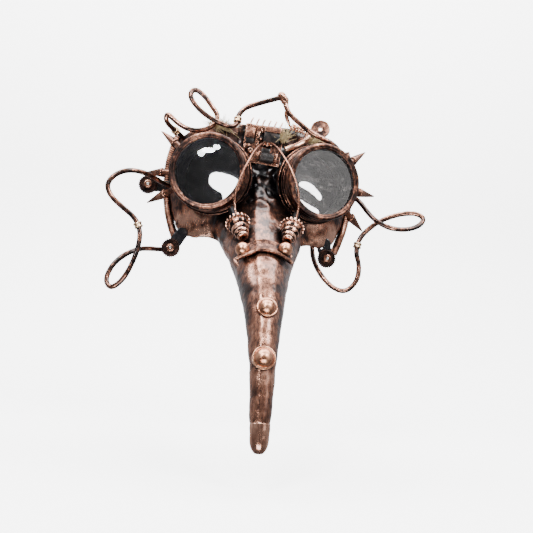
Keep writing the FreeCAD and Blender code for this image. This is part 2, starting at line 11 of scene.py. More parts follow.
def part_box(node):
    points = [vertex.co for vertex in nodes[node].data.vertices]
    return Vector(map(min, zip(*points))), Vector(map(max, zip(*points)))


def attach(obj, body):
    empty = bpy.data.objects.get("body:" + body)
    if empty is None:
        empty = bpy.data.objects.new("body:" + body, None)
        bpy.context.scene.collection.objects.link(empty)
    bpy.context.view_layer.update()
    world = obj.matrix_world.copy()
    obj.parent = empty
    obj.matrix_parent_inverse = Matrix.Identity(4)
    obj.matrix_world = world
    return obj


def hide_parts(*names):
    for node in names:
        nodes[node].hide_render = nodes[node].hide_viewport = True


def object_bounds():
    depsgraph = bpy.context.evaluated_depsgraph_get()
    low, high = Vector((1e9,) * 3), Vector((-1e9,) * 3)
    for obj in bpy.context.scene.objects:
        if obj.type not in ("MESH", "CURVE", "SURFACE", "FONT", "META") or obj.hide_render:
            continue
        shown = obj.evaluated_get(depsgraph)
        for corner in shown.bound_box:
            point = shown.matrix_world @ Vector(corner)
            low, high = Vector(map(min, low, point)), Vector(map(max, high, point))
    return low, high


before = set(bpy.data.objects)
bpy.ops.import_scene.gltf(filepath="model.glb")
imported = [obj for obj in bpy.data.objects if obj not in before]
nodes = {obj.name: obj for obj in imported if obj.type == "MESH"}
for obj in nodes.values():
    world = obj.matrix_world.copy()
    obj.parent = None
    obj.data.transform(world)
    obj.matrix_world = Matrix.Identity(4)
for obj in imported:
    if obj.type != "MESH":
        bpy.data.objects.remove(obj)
cad_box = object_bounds()
scene = bpy.context.scene

MM = 0.001
UP = Vector((0, 0, 1))
FORWARD = Vector((0, -1, 0))
SIDES = {"left": -1, "right": 1}
CAMERA_AZIMUTH, CAMERA_ELEVATION, CAMERA_ROLL = -6, -3, 4.3
CAMERA_DISTANCE = 0.545


def mm(*values):
    return Vector(values) * MM


def linked(name, data):
    """A new object in the scene."""
    obj = bpy.data.objects.new(name, data)
    scene.collection.objects.link(obj)
    return obj


# ---- camera, lights and backdrop ----

def look_back(azimuth, elevation):
    """Unit vector from the object towards a camera at that azimuth and elevation, in degrees."""
    a, e = radians(azimuth), radians(elevation)
    return Vector((sin(a) * cos(e), -cos(a) * cos(e), sin(e)))


def aim(obj, place, back, roll_deg=0):
    """Puts obj at a place with its local z along back, turned about it by the roll."""
    right = UP.cross(back).normalized()
    up = back.cross(right)
    turn = Matrix((right, up, back)).transposed().to_4x4()
    obj.matrix_world = Matrix.Translation(place) @ turn @ Matrix.Rotation(radians(roll_deg), 4, "Z")


def make_camera():
    data = bpy.data.cameras.new("camera")
    data.sensor_width = 36
    data.lens = 48.3
    data.clip_start = 0.01
    camera = linked("camera", data)
    back = look_back(CAMERA_AZIMUTH, CAMERA_ELEVATION)
    aim(camera, mm(5.4, -26, -68.8) + back * CAMERA_DISTANCE, back, CAMERA_ROLL)
    scene.camera = camera


def area_light(name, place, target, size, size_y, power, color):
    data = bpy.data.lights.new(name, "AREA")
    data.shape = "RECTANGLE"
    data.size = size
    data.size_y = size_y
    data.energy = power
    data.color = color
    light = linked(name, data)
    aim(light, place, (place - target).normalized())
    return light


def make_studio():
    """Two soft boxes in front, a grey panel for the right lens and three small windows for the left one."""
    middle = Vector((0, -0.04, -0.05))
    area_light("key_left", Vector((-0.34, -0.62, 0.66)), middle, 0.30, 0.30, 9.5, (1, 0.985, 0.96))
    area_light("key_right", Vector((0.42, -0.60, 0.52)), middle, 0.30, 0.30, 7.5, (1, 0.99, 0.98))
    area_light("grey_panel", Vector((0.66, -0.74, 0.16)), middle, 0.42, 0.50, 1.15, (1, 0.975, 0.955))
    lens = Vector((-0.0458, -0.028, 0))
    toward, distance = Vector((-0.475, -0.825, 0.312)).normalized(), 0.85
    windows = [(0, 0, 0.075, 0.030, 0.9), (-0.045, -0.012, 0.045, 0.04, 0.4),
               (0.05, 0.014, 0.04, 0.028, 0.35)]
    for index, (x, z, size, size_y, power) in enumerate(windows):
        place = lens + toward * distance + Vector((x, 0, z))
        pane = area_light("window_%d" % index, place, lens, size, size_y, power, (0.95, 0.97, 1))
        pane.data.shape = "ELLIPSE"
    area_light("low_front", Vector((-0.10, -0.80, -0.50)), middle, 0.70, 0.34, 8, (1, 1, 1))
    area_light("back_wash", Vector((0, 0.10, 0.75)), Vector((0, 0.55, -0.1)), 1.4, 0.6, 30, (1, 1, 1))


def make_world():
    """Pale to the camera; as light it is bright above and behind and dim in front."""
    world = bpy.data.worlds.new("world")
    scene.world = world
    world.use_nodes = True
    tree = world.node_tree
    tree.nodes.clear()
    kinds = ("OutputWorld", "MixShader", "LightPath", "Background", "Background", "TexCoord", "SeparateXYZ",
             "ValToRGB", "Math", "Math")
    made = [tree.nodes.new("ShaderNode" + kind) for kind in kinds]
    out, mix, path, pale, soft, coords, split, ramp, blend, lift = made
    pale.inputs["Color"].default_value = (1, 1, 1, 1)
    pale.inputs["Strength"].default_value = 4
    blend.operation = lift.operation = "MULTIPLY_ADD"
    blend.inputs[1].default_value = 0.35
    blend.inputs[2].default_value = 0.45
    lift.inputs[1].default_value = 0.30
    dim, bright = ramp.color_ramp.elements
    dim.position, dim.color = 0.25, (0.20, 0.20, 0.21, 1)
    bright.position, bright.color = 0.85, (0.85, 0.87, 0.92, 1)
    for source, target in ((coords.outputs["Generated"], split.inputs[0]),
                           (split.outputs["Y"], blend.inputs[0]),
                           (split.outputs["Z"], lift.inputs[0]), (blend.outputs[0], lift.inputs[2]),
                           (lift.outputs[0], ramp.inputs[0]), (ramp.outputs["Color"], soft.inputs["Color"]),
                           (path.outputs["Is Camera Ray"], mix.inputs[0]), (soft.outputs[0], mix.inputs[1]),
                           (pale.outputs[0], mix.inputs[2]), (mix.outputs[0], out.inputs[0])):
        tree.links.new(source, target)


def make_floor():
    """A pale sweep: floor below the beak, curving up behind."""
    low = cad_box[0].z - 0.03
    front, back, half, tall, bend = -1.8, 0.55, 2.2, 1.6, 0.30
    turns = [radians(angle) for angle in range(10, 91, 10)]
    profile = [(front, low), (0, low), (back - bend, low)]
    profile += [(back - bend + bend * sin(turn), low + bend * (1 - cos(turn))) for turn in turns]
    profile += [(back, low + tall)]
    verts = [(x, y, z) for y, z in profile for x in (-half, half)]
    faces = [(2 * i, 2 * i + 1, 2 * i + 3, 2 * i + 2) for i in range(len(profile) - 1)]
    mesh = bpy.data.meshes.new("floor")
    mesh.from_pydata(verts, [], faces)
    mesh.shade_smooth()
    floor = linked("floor", mesh)
    n = Nodes("floor")
    n.shade("Base Color", (0.93, 0.93, 0.93, 1))
    n.shade("Roughness", 0.9)
    n.shade("Specular IOR Level", 0.1)
    n.shade("Emission Color", (1, 1, 1, 1))
    n.shade("Emission Strength", 3.3)
    mesh.materials.append(n.material)
    floor.visible_diffuse = False
    floor.visible_glossy = False


# ---- materials ----

class Nodes:
    """Adds and joins the shader nodes of one material."""

    def __init__(self, name):
        self.material = bpy.data.materials.new(name)
        self.material.use_nodes = True
        self.tree = self.material.node_tree
        self.shader = self.tree.nodes["Principled BSDF"]
        self.coords = self.add("TexCoord")

    def add(self, kind, **settings):
        node = self.tree.nodes.new("ShaderNode" + kind)
        for key, value in settings.items():
            setattr(node, key, value)
        return node

    def link(self, source, target):
        self.tree.links.new(source, target)

    def set(self, node, socket, value):
        """Links a socket's value in, or sets a constant."""
        if isinstance(value, bpy.types.NodeSocket):
            self.link(value, node.inputs[socket])
        else:
            node.inputs[socket].default_value = value

    def shade(self, socket, value):
        self.set(self.shader, socket, value)

    def noise(self, scale, detail, roughness=0.55, stretch=(1, 1, 1), distortion=0):
        mapping = self.add("Mapping")
        self.set(mapping, "Scale", stretch)
        self.link(self.coords.outputs["Object"], mapping.inputs["Vector"])
        texture = self.add("TexNoise")
        self.link(mapping.outputs[0], texture.inputs["Vector"])
        values = {"Scale": scale, "Detail": detail, "Roughness": roughness, "Distortion": distortion}
        for socket, value in values.items():
            self.set(texture, socket, value)
        return texture.outputs["Fac"]

    def ramp(self, factor, stops):
        node = self.add("ValToRGB")
        elements = node.color_ramp.elements
        while len(elements) < len(stops):
            elements.new(0.5)
        for element, (position, color) in zip(elements, stops):
            element.position = position
            element.color = (*color, 1)
        self.set(node, 0, factor)
        return node.outputs["Color"]

    def levels(self, factor, low, high, out_low=0, out_high=1):
        node = self.add("MapRange")
        for socket, value in enumerate((factor, low, high, out_low, out_high)):
            self.set(node, socket, value)
        return node.outputs[0]

    def math(self, operation, a, b, clamp=False):
        node = self.add("Math", operation=operation, use_clamp=clamp)
        self.set(node, 0, a)
        self.set(node, 1, b)
        return node.outputs[0]

    def weigh(self, *terms):
        """The sum of each term's value times its weight."""
        total = None
        for value, weight in terms:
            part = self.math("MULTIPLY", value, weight)
            total = part if total is None else self.math("ADD", total, part)
        return total

    def mix(self, factor, a, b):
        node = self.add("Mix", data_type="RGBA")
        for socket, value in ((0, factor), (6, (*a, 1)), (7, (*b, 1))):
            self.set(node, socket, value)
        return node.outputs[2]

    def attribute(self, name):
        return self.add("Attribute", attribute_name=name).outputs["Fac"]

    def bump(self, height, strength, distance):
        node = self.add("Bump")
        for socket, value in (("Strength", strength), ("Distance", distance), ("Height", height)):
            self.set(node, socket, value)
        return node.outputs[0]


BRIGHT = (0.74, 0.41, 0.29)
COPPER = (0.33, 0.145, 0.092)
BROWN = (0.060, 0.030, 0.023)
# the black paint, also used for painted shade in crevices
BLACK_PAINT_AND_SHADE = (0.006, 0.0055, 0.006)


def patina(name, cover, contrast=1, streak=(1, 1, 1), scale=190, rough=(0.26, 0.46), bump=0.25, wear=1,
           coat=0):
    """Black paint rubbed with copper: edges and high spots are bright, hollows stay black; the wear
    attribute also brings painted shade near other parts, drawn in black.
    """
    n = Nodes(name)
    broad = n.noise(scale * 0.35, 3, 0.6)
    fine = n.noise(scale * 2.1, 6, 0.7, streak, 0.4)
    grain = n.noise(scale * 14, 3, 0.7)
    rub = n.weigh((broad, 0.75), (fine, 0.75), (grain, 0.18), (n.attribute("wear"), wear))
    middle, spread = 1.34 - cover, 0.34 / contrast
    amount = n.levels(rub, middle - spread, middle + spread)
    # low values, from black paint and from painted shade, take the darkest stop
    n.shade("Base Color", n.ramp(amount, [(0, BLACK_PAINT_AND_SHADE), (0.36, BROWN), (0.66, COPPER), (1, BRIGHT)]))
    n.shade("Metallic", 0.9)
    n.shade("Coat Weight", coat)
    n.shade("Coat Roughness", 0.12)
    n.shade("Roughness", n.levels(n.weigh((amount, -0.5), (fine, 1)), -0.1, 0.75, *rough))
    n.shade("Normal", n.bump(n.weigh((fine, 0.7), (grain, 0.3)), bump, 0.0006))
    return n.material


def polished(name, color, tarnish, rough=(0.22, 0.36)):
    """Bright plated copper with tarnished hollows and fine pitting; the wear attribute also brings painted
    shade near other parts, drawn as tarnish.
    """
    n = Nodes(name)
    cloud = n.noise(210, 4, 0.6)
    pits = n.noise(2520, 2, 0.5)
    amount = n.levels(n.weigh((cloud, 0.9), (n.attribute("wear"), 0.8)), 0.28, 0.62)
    n.shade("Base Color", n.mix(amount, tarnish, color))
    n.shade("Metallic", 1)
    n.shade("Roughness", n.levels(n.weigh((cloud, 1), (pits, 0.3)), 0.35, 0.95, *rough))
    n.shade("Normal", n.bump(n.math("ADD", pits, cloud), 0.16, 0.0004))
    return n.material


def glossy_dark(name, color, dust, rough):
    """Dark enamel, plastic or rubber with dust in its hollows."""
    n = Nodes(name)
    cloud = n.noise(300, 5, 0.65)
    speck = n.noise(2700, 2, 0.5)
    amount = n.levels(n.weigh((cloud, 0.7), (speck, 0.3)), 0.48, 0.72)
    n.shade("Base Color", n.mix(amount, color, dust))
    n.shade("Roughness", n.levels(cloud, 0.3, 0.7, *rough))
    n.shade("Normal", n.bump(cloud, 0.15, 0.0005))
    return n.material


def glass(name, tint, haze, density):
    """Thin clear glass with smears and dust."""
    n = Nodes(name)
    smear = n.noise(90, 3, 0.5, (1, 0.4, 2.6), 1.6)
    dust = n.noise(2600, 1, 0.4)
    n.shade("Base Color", (*tint, 1))
    n.shade("Transmission Weight", 1)
    n.shade("IOR", 1.5)
    n.shade("Roughness", n.levels(smear, 0.45, 0.75, 0, haze * 0.25))
    film = n.add("BsdfDiffuse")
    n.set(film, "Color", (0.40, 0.37, 0.355, 1))
    smears = n.levels(smear, 0.50, 0.72, 0, haze)
    specks = n.levels(dust, 0.70, 0.74, 0, density)
    mix = n.add("MixShader")
    for socket, value in enumerate((n.math("ADD", smears, specks, True), n.shader.outputs[0],
                                    film.outputs[0])):
        n.set(mix, socket, value)
    out = next(node for node in n.tree.nodes if node.type == "OUTPUT_MATERIAL")
    n.link(mix.outputs[0], out.inputs["Surface"])
    return n.material


def fibre(name, light, dark):
    """Matt plant fibre in two tones."""
    n = Nodes(name)
    n.shade("Base Color", n.ramp(n.noise(700, 4, 0.6), [(0.3, dark), (0.7, light)]))
    n.shade("Roughness", 0.8)
    n.shade("Sheen Weight", 0.3)
    n.shade("Normal", n.bump(n.noise(5000, 2), 0.3, 0.0002))
    return n.material


def make_materials():
    grain_down = (1.4, 1, 0.24)
    return {
        "shell": patina("shell_patina", 0.44, streak=grain_down, scale=210, rough=(0.20, 0.42), bump=0.35,
                        coat=0.5),
        "tip": patina("tip_patina", 0.80, streak=grain_down, scale=210, rough=(0.16, 0.30), bump=0.15,
                      coat=0.6),
        "cup": patina("cup_patina", 0.28, scale=240, rough=(0.16, 0.36), bump=0.3),
        "bezel": patina("bezel_patina", 0.41, 1.5, scale=230, rough=(0.20, 0.42), bump=0.3, wear=1.3),
        "spike": patina("spike_patina", 0.50, scale=420, rough=(0.18, 0.36)),
        "wire": patina("wire_patina", 0.46, 1.9, scale=130, rough=(0.12, 0.30), bump=0.2, coat=0.35),
        "gear": patina("gear_patina", 0.56, 0.85, scale=380, rough=(0.20, 0.38), bump=0.2, wear=1.5),
        "strip": patina("strip_patina", 0.40, scale=420, bump=0.3, wear=1.8),
        "wheel": patina("wheel_patina", 0.24, scale=500, rough=(0.22, 0.44), bump=0.3),
        "board": patina("board_patina", 0.47, 1.4, scale=420, rough=(0.24, 0.46), bump=0.4),
        "stud": polished("stud_copper", (0.92, 0.48, 0.30), (0.36, 0.13, 0.07)),
        "brass": polished("ferrule_brass", (0.95, 0.68, 0.42), (0.38, 0.20, 0.11), (0.16, 0.34)),
        "brow": polished("brow_copper", (0.97, 0.62, 0.45), (0.30, 0.12, 0.08), (0.12, 0.3)),
        "pin": polished("pin_steel", (0.80, 0.78, 0.74), (0.28, 0.24, 0.22), (0.2, 0.4)),
        "enamel": glossy_dark("bracket_enamel", (0.012, 0.012, 0.015), (0.045, 0.038, 0.036), (0.06, 0.24)),
        "rubber": glossy_dark("gasket_rubber", (0.012, 0.012, 0.013), (0.05, 0.05, 0.05), (0.4, 0.6)),
        "plastic": glossy_dark("relay_plastic", (0.006, 0.005, 0.005), (0.05, 0.026, 0.018), (0.22, 0.42)),
        "lens_dark": glass("lens_dark_glass", (0.93, 0.94, 0.96), 0.03, 0.06),
        "lens_grey": glass("lens_grey_glass", (0.90, 0.90, 0.91), 0.16, 0.05),
        "jute": fibre("jute_fibre", (0.62, 0.50, 0.27), (0.30, 0.22, 0.11)),
    }


# ---- mesh helpers ----

def add_wear(obj, gain):
    """Stores how convex each point is, so that edges can be rubbed bright and hollows left dark."""
    mesh = obj.data
    count = len(mesh.vertices)

    def rows(items, key, width, kind=np.float64):
        values = np.empty(len(items) * width, kind)
        items.foreach_get(key, values)
        return values.reshape(-1, width)

    points = rows(mesh.vertices, "co", 3)
    normals = rows(mesh.vertex_normals, "vector", 3)
    edges = rows(mesh.edges, "vertices", 2, np.int64)
    degree = np.maximum(np.bincount(edges.ravel(), minlength=count), 1)

    def neighbour_mean(values):
        total = np.zeros_like(values)
        np.add.at(total, edges[:, 0], values[edges[:, 1]])
        np.add.at(total, edges[:, 1], values[edges[:, 0]])
        return total / (degree[:, None] if values.ndim == 2 else degree)

    lengths = np.linalg.norm(points[edges[:, 0]] - points[edges[:, 1]], axis=1)
    spacing = np.zeros(count)
    np.add.at(spacing, edges[:, 0], lengths)
    np.add.at(spacing, edges[:, 1], lengths)
    spacing = np.maximum(spacing / degree, 1e-7)
    convex = np.einsum("ij,ij->i", points - neighbour_mean(points), normals) / spacing ** 2 * MM
    for _ in range(2):
        convex = 0.5 * convex + 0.5 * neighbour_mean(convex)
    wear = np.clip(convex * gain, -0.5, 0.5)
    attribute = mesh.attributes.new("wear", "FLOAT", "POINT")
    attribute.data.foreach_set("value", wear.astype(np.float32))


def hit_tree(names):
    """CAD pieces at rest as one tree for finding near surfaces."""
    verts, faces = [], []
    for name in names:
        node = nodes[name]
        start = len(verts)
        verts += [v.co.copy() for v in node.data.vertices]
        faces += [tuple(start + index for index in polygon.vertices) for polygon in node.data.polygons]
    return BVHTree.FromPolygons(verts, faces)


CONE = [Vector((cos(a) * 0.8, sin(a) * 0.8, 0.6)) for a in (0.3, 1.35, 2.4, 3.44, 4.5, 5.5)]
CONE.append(Vector((0, 0, 1)))


def change_wear(obj, amounts):
    """Adds one amount for each point to its wear attribute, which holds painted shade as well as wear."""
    attribute = obj.data.attributes["wear"]
    wear = np.zeros(len(obj.data.vertices), np.float32)
    attribute.data.foreach_get("value", wear)
    attribute.data.foreach_set("value", wear + np.array(amounts, np.float32))


def add_to_wear(obj, amount):
    """Adds amount(place in millimetres, normal) to each point's value in the wear attribute."""
    pairs = zip(obj.data.vertices, obj.data.vertex_normals)
    change_wear(obj, [amount(vertex.co / MM, normal.vector) for vertex, normal in pairs])


def shade_and_blacken_crevices(obj, reach, strength, lift=0.9):
    """Painted shade: lowers the wear attribute where other surfaces are close in front, so crevices and
    gaps between parts darken as if shaded; black paint also stays there.
    """
    reach *= MM
    amounts = []
    for vertex, normal in zip(obj.data.vertices, obj.data.vertex_normals):
        n = normal.vector
        side = n.orthogonal().normalized()
        other = n.cross(side)
        start = vertex.co + n * lift * MM
        hits = [tree.ray_cast(start, side * ray.x + other * ray.y + n * ray.z, reach)[3] for ray in CONE]
        near = sum(1 - distance / reach for distance in hits if distance is not None)
        # painted shade: the more rays hit nearby parts, and the nearer, the darker the colour
        amounts.append(-near / len(CONE) * strength)
    change_wear(obj, amounts)


def finish(obj, slot, paint, replaced=(), gain=1, smooth=40, wear=True, body="mask", hollows=None):
    """Paint, shading and the frame's bookkeeping for one piece; hollows is what shade_and_blacken_crevices
    gets, for painted shade near other parts.
    """
    obj.data.materials.clear()
    obj.data.materials.append(materials[paint])
    obj.data.shade_smooth()
    obj.data.set_sharp_from_angle(angle=radians(smooth))
    if wear:
        add_wear(obj, gain)
    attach(obj, body)
    if replaced:
        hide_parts(*replaced)
    # painted shade: darkens the colour where nearby parts hem the piece in
    if hollows:
        shade_and_blacken_crevices(obj, *hollows)


def join_parts(name, parts):
    """One object from several (verts, faces) parts, with its normals outward."""
    verts, faces = [], []
    for part_verts, part_faces in parts:
        start = len(verts)
        verts += [tuple(v) for v in part_verts]
        faces += [tuple(start + index for index in face) for face in part_faces]
    mesh = bpy.data.meshes.new(name)
    mesh.from_pydata(verts, [], faces)
    mesh.validate()
    obj = linked(name, mesh)
    bm = bmesh.new()
    bm.from_mesh(mesh)
    bmesh.ops.recalc_face_normals(bm, faces=bm.faces)
    bm.to_mesh(mesh)
    bm.free()
    return obj


def build(name, parts, slot, paint, replaced=(), **looks):
    """Joins parts into one finished piece."""
    obj = join_parts(name, parts)
    finish(obj, slot, paint, replaced, **looks)
    return obj


def moved(part, matrix):
    verts, faces = part
    return [matrix @ Vector(v) for v in verts], faces


def rounded(profile, radius, steps=3, closed=True):
    """Rounds the corners of a flat outline of (r, z) points."""
    out = []
    count = len(profile)
    for i, corner in enumerate(profile):
        here = Vector(corner)
        if not closed and i in (0, count - 1):
            out.append(tuple(here))
            continue
        before = Vector(profile[i - 1]) - here
        after = Vector(profile[(i + 1) % count]) - here
        cut = min(radius, before.length * 0.45, after.length * 0.45)
        start = here + before.normalized() * cut
        end = here + after.normalized() * cut
        for step in range(steps + 1):
            t = step / steps
            point = start * (1 - t) ** 2 + here * 2 * t * (1 - t) + end * t ** 2
            out.append(tuple(point))
    return out


def lathe(profile, segments=96, wobble=0, seed=0, closed=True):
    """Verts and faces of a profile of (r, z) in millimetres turned about local z."""
    verts, faces = [], []
    count = len(profile)
    for s in range(segments):
        angle = tau * s / segments
        for r, z in profile:
            shift = 0
            if wobble:
                probe = Vector((cos(angle) * 2.2, sin(angle) * 2.2, z * 0.25 + r * 0.13 + seed * 7.1))
                shift = wobble * noise.noise(probe)
            radius = max(r + shift, 0)
            verts.append(Vector((radius * cos(angle), radius * sin(angle), z + shift * 0.5)) * MM)
    last = count if closed else count - 1
    for s in range(segments):
        nxt = (s + 1) % segments
        for i in range(last):
            j = (i + 1) % count
            faces.append((s * count + i, nxt * count + i, nxt * count + j, s * count + j))
    return verts, faces


def lathe_solid(profile, segments=48, wobble=0, seed=0):
    """Like lathe, for a profile that starts and ends on the axis."""
    verts, faces = lathe(profile, segments, wobble, seed, closed=False)
    count = len(profile)
    first, last = len(verts), len(verts) + 1
    verts += [mm(0, 0, profile[0][1]), mm(0, 0, profile[-1][1])]
    for s in range(segments):
        nxt = (s + 1) % segments
        faces.append((first, nxt * count, s * count))
        faces.append((last, s * count + count - 1, nxt * count + count - 1))
    return verts, faces


def turned(profile, segments, corner, steps, wobble=0):
    """lathe_solid with the profile's corners rounded."""
    return lathe_solid(rounded(profile, corner, steps, closed=False), segments, wobble)


def basis(z_axis, x_hint=Vector((1, 0, 0))):
    """A turn that puts local z on an axis and local x near the hint."""
    z = Vector(z_axis).normalized()
    x = (x_hint - z * x_hint.dot(z)).normalized()
    y = z.cross(x)
    return Matrix((x, y, z)).transposed().to_4x4()


def smooth_line(points, step):
    """Even points about a step apart along a route's NURBS line, in metres, and the line's length."""
    curve = bpy.data.curves.new("route", "CURVE")
    curve.dimensions = "3D"
    spline = curve.splines.new("NURBS")
    spline.points.add(len(points) - 1)
    for point, place in zip(spline.points, points):
        point.co = (*mm(*place), 1)
    spline.order_u = 3
    spline.use_endpoint_u = True
    curve.resolution_u = 14
    obj = linked("route", curve)
    bpy.context.view_layer.update()
    mesh = bpy.data.meshes.new_from_object(obj)
    dense = np.array([tuple(v.co) for v in mesh.vertices])
    bpy.data.objects.remove(obj)
    bpy.data.curves.remove(curve)
    bpy.data.meshes.remove(mesh)
    lengths = np.r_[0, np.cumsum(np.linalg.norm(np.diff(dense, axis=0), axis=1))]
    count = max(int(lengths[-1] / (step * MM)), 2)
    at = np.linspace(0, lengths[-1], count + 1)
    return [Vector([np.interp(t, lengths, dense[:, k]) for k in range(3)]) for t in at], lengths[-1]


def sweep(line, radius, sides):
    """A closed tube along a line; radius is a function of (distance share, angle)."""
    verts, faces = [], []
    tangent = (line[1] - line[0]).normalized()
    side = tangent.orthogonal().normalized()
    count = len(line)
    for i, place in enumerate(line):
        ahead = line[min(i + 1, count - 1)] - line[max(i - 1, 0)]
        tangent = ahead.normalized()
        side = (side - tangent * side.dot(tangent)).normalized()
        other = tangent.cross(side)
        for s in range(sides):
            angle = tau * s / sides
            r = radius(i / (count - 1), angle)
            verts.append(place + (side * cos(angle) + other * sin(angle)) * r)
    for i in range(count - 1):
        for s in range(sides):
            n = (s + 1) % sides
            faces.append((i * sides + s, i * sides + n, (i + 1) * sides + n, (i + 1) * sides + s))
    faces.append(tuple(range(sides))[::-1])
    faces.append(tuple((count - 1) * sides + s for s in range(sides)))
    return verts, faces


def toothed(tip, root, teeth, z_low, z_high):
    """A toothed ring's outer body as a closed prism, in millimetres."""
    corners = ((0, root), (0.16, tip), (0.46, tip), (0.62, root))
    ring = [(r, tau * (tooth + share) / teeth) for tooth in range(teeth) for share, r in corners]
    verts = [mm(r * cos(angle), r * sin(angle), z) for z in (z_low, z_high) for r, angle in ring]
    count = len(ring)
    faces = [(i, (i + 1) % count, count + (i + 1) % count, count + i) for i in range(count)]
    faces.append(tuple(range(count))[::-1])
    faces.append(tuple(range(count, 2 * count)))
    return verts, faces


def block(size, bevel=0.3):
    """A bevelled box centred on the origin, in millimetres."""
    bm = bmesh.new()
    bmesh.ops.create_cube(bm, size=1)
    bmesh.ops.scale(bm, vec=Vector(size) * MM, verts=bm.verts)
    bmesh.ops.bevel(bm, geom=bm.edges[:], offset=bevel * MM, segments=2, profile=0.6, affect="EDGES")
    part = [v.co.copy() for v in bm.verts], [tuple(v.index for v in f.verts) for f in bm.faces]
    bm.free()
    return part


def remeshed(node, name, voxel, smooth, bumps=()):
    """A dense copy of a CAD node with rounded edges; bumps is a list of (height, size) in millimetres."""
    mesh = nodes[node].data.copy()
    mesh.name = name
    obj = linked(name, mesh)
    remesh = obj.modifiers.new("remesh", "REMESH")
    remesh.mode = "VOXEL"
    remesh.voxel_size = voxel * MM
    soften = obj.modifiers.new("soften", "SMOOTH")
    soften.factor = 0.5
    soften.iterations = smooth
    bpy.context.view_layer.update()
    result = bpy.data.meshes.new_from_object(obj.evaluated_get(bpy.context.evaluated_depsgraph_get()))
    obj.modifiers.clear()
    obj.data = result
    bpy.data.meshes.remove(mesh)
    for height, size in bumps:
        push(obj, lambda place, height=height, size=size: noise.noise(place / size) * height)
    return obj


def push(obj, amount):
    """Moves each point along its normal by amount(place), all in millimetres."""
    mesh = obj.data
    pairs = zip(mesh.vertices, mesh.vertex_normals)
    moves = [normal.vector * amount(vertex.co / MM) * MM for vertex, normal in pairs]
    for vertex, move in zip(mesh.vertices, moves):
        vertex.co += move
    mesh.update()


materials = make_materials()
tree = hit_tree([name for name in nodes if not name.startswith("goggle_lens")])
shell_tree = hit_tree(["mask_shell"])


# ---- shell ----

def bridge_share(place):
    """1 on the nose bridge between the goggles, fading to 0 round it; place in millimetres."""
    return max(0, 1 - abs(place.x) / 30) * min(max((place.z + 34) / 22, 0), 1)


def shell_cover(place, normal):
    """More copper down the beak, black round the nose bridge, inside the mask and behind the goggles."""
    if normal.y > 0.15 and place.z > -57:
        return PAINTED_BLACK
    for view in goggle_views:
        local = view @ (place * MM) / MM
        if hypot(local.x, local.y) < 28.5:
            return PAINTED_BLACK
    beak = min(max((-place.z - 50) / 40, 0), 1)
    cheek = min(max((abs(place.x) - 30) / 12, 0), 1) * min(max((-place.z - 22) / 10, 0), 1)
    flank = min(max((abs(place.x) - 4) / 9, 0), 1) * min(max((-place.z - 70) / 20, 0), 1)
    blotch = noise.noise(Vector((place.x / 16, place.y / 10, place.z / 7))) + 0.6 * noise.noise(place / 4.5)
    cover = 0.12 * beak - 0.30 * bridge_share(place) - 0.16 * flank
    return cover + cheek * (0.36 + 0.42 * blotch) + 0.10 * blotch


def bridge_lumps(place):
    """Dents and lumps on the front of the nose bridge."""
    share = min(bridge_share(place) * 1.6, 1) if place.y < 0 else 0
    return noise.noise(Vector((place.x / 6.5 + 3, place.y / 9 + 1, place.z / 7.5 + 8))) * share * 2.2


def make_shell():
    obj = remeshed("mask_shell", "face_shell", 0.95, 18, [(0.5, 9), (0.14, 3)])
    push(obj, bridge_lumps)
    finish(obj, "copper_leather", "shell", ["mask_shell"], gain=1.5, smooth=80, hollows=(12, 0.5))
    add_to_wear(obj, shell_cover)
    tip = remeshed("beak_tip_cap", "beak_tip", 0.4, 3)
    middle_y, middle_z = -0.1125, -180
    for vertex in tip.data.vertices:
        reach = vertex.co.z / MM - middle_z
        fuller = 1 + 0.04 * max(-reach, 0) - 0.025 * max(reach - 3, 0)
        vertex.co.x *= fuller
        vertex.co.y = middle_y + (vertex.co.y - middle_y) * fuller
        vertex.co.z = (middle_z + reach * (1.6 if reach < 0 else 1.2)) * MM
    finish(tip, "tip_gloss", "tip", ["beak_tip_cap"], gain=0, smooth=80)


# ---- goggles ----

TOE_OUT = radians(15)
PAINTED_BLACK = -1.2


def goggle_matrix(side):
    """Local z out of the front ring, local y up, with the origin at the middle of the ring's front."""
    out = Vector((side * sin(TOE_OUT), -cos(TOE_OUT), 0))
    across = Vector((cos(TOE_OUT), side * sin(TOE_OUT), 0))
    turn = Matrix((across, UP, out)).transposed().to_4x4()
    return Matrix.Translation(mm(side * 45.8, -28, 0)) @ turn


goggle_views = [goggle_matrix(side).inverted() for side in SIDES.values()]
BEZEL_PROFILE = [
    (25.2, -2.05), (25.3, -1.2), (26.1, -0.45), (26.9, -0.55), (27.4, -0.12), (28.6, 0), (29.5, -0.45),
    (29.95, -1.5), (29.95, -3.9), (29.35, -4.3), (29.35, -4.9), (30, -5.5), (30, -9.6), (29.6, -10.9),
    (28.1, -11), (28.06, -2.15)]


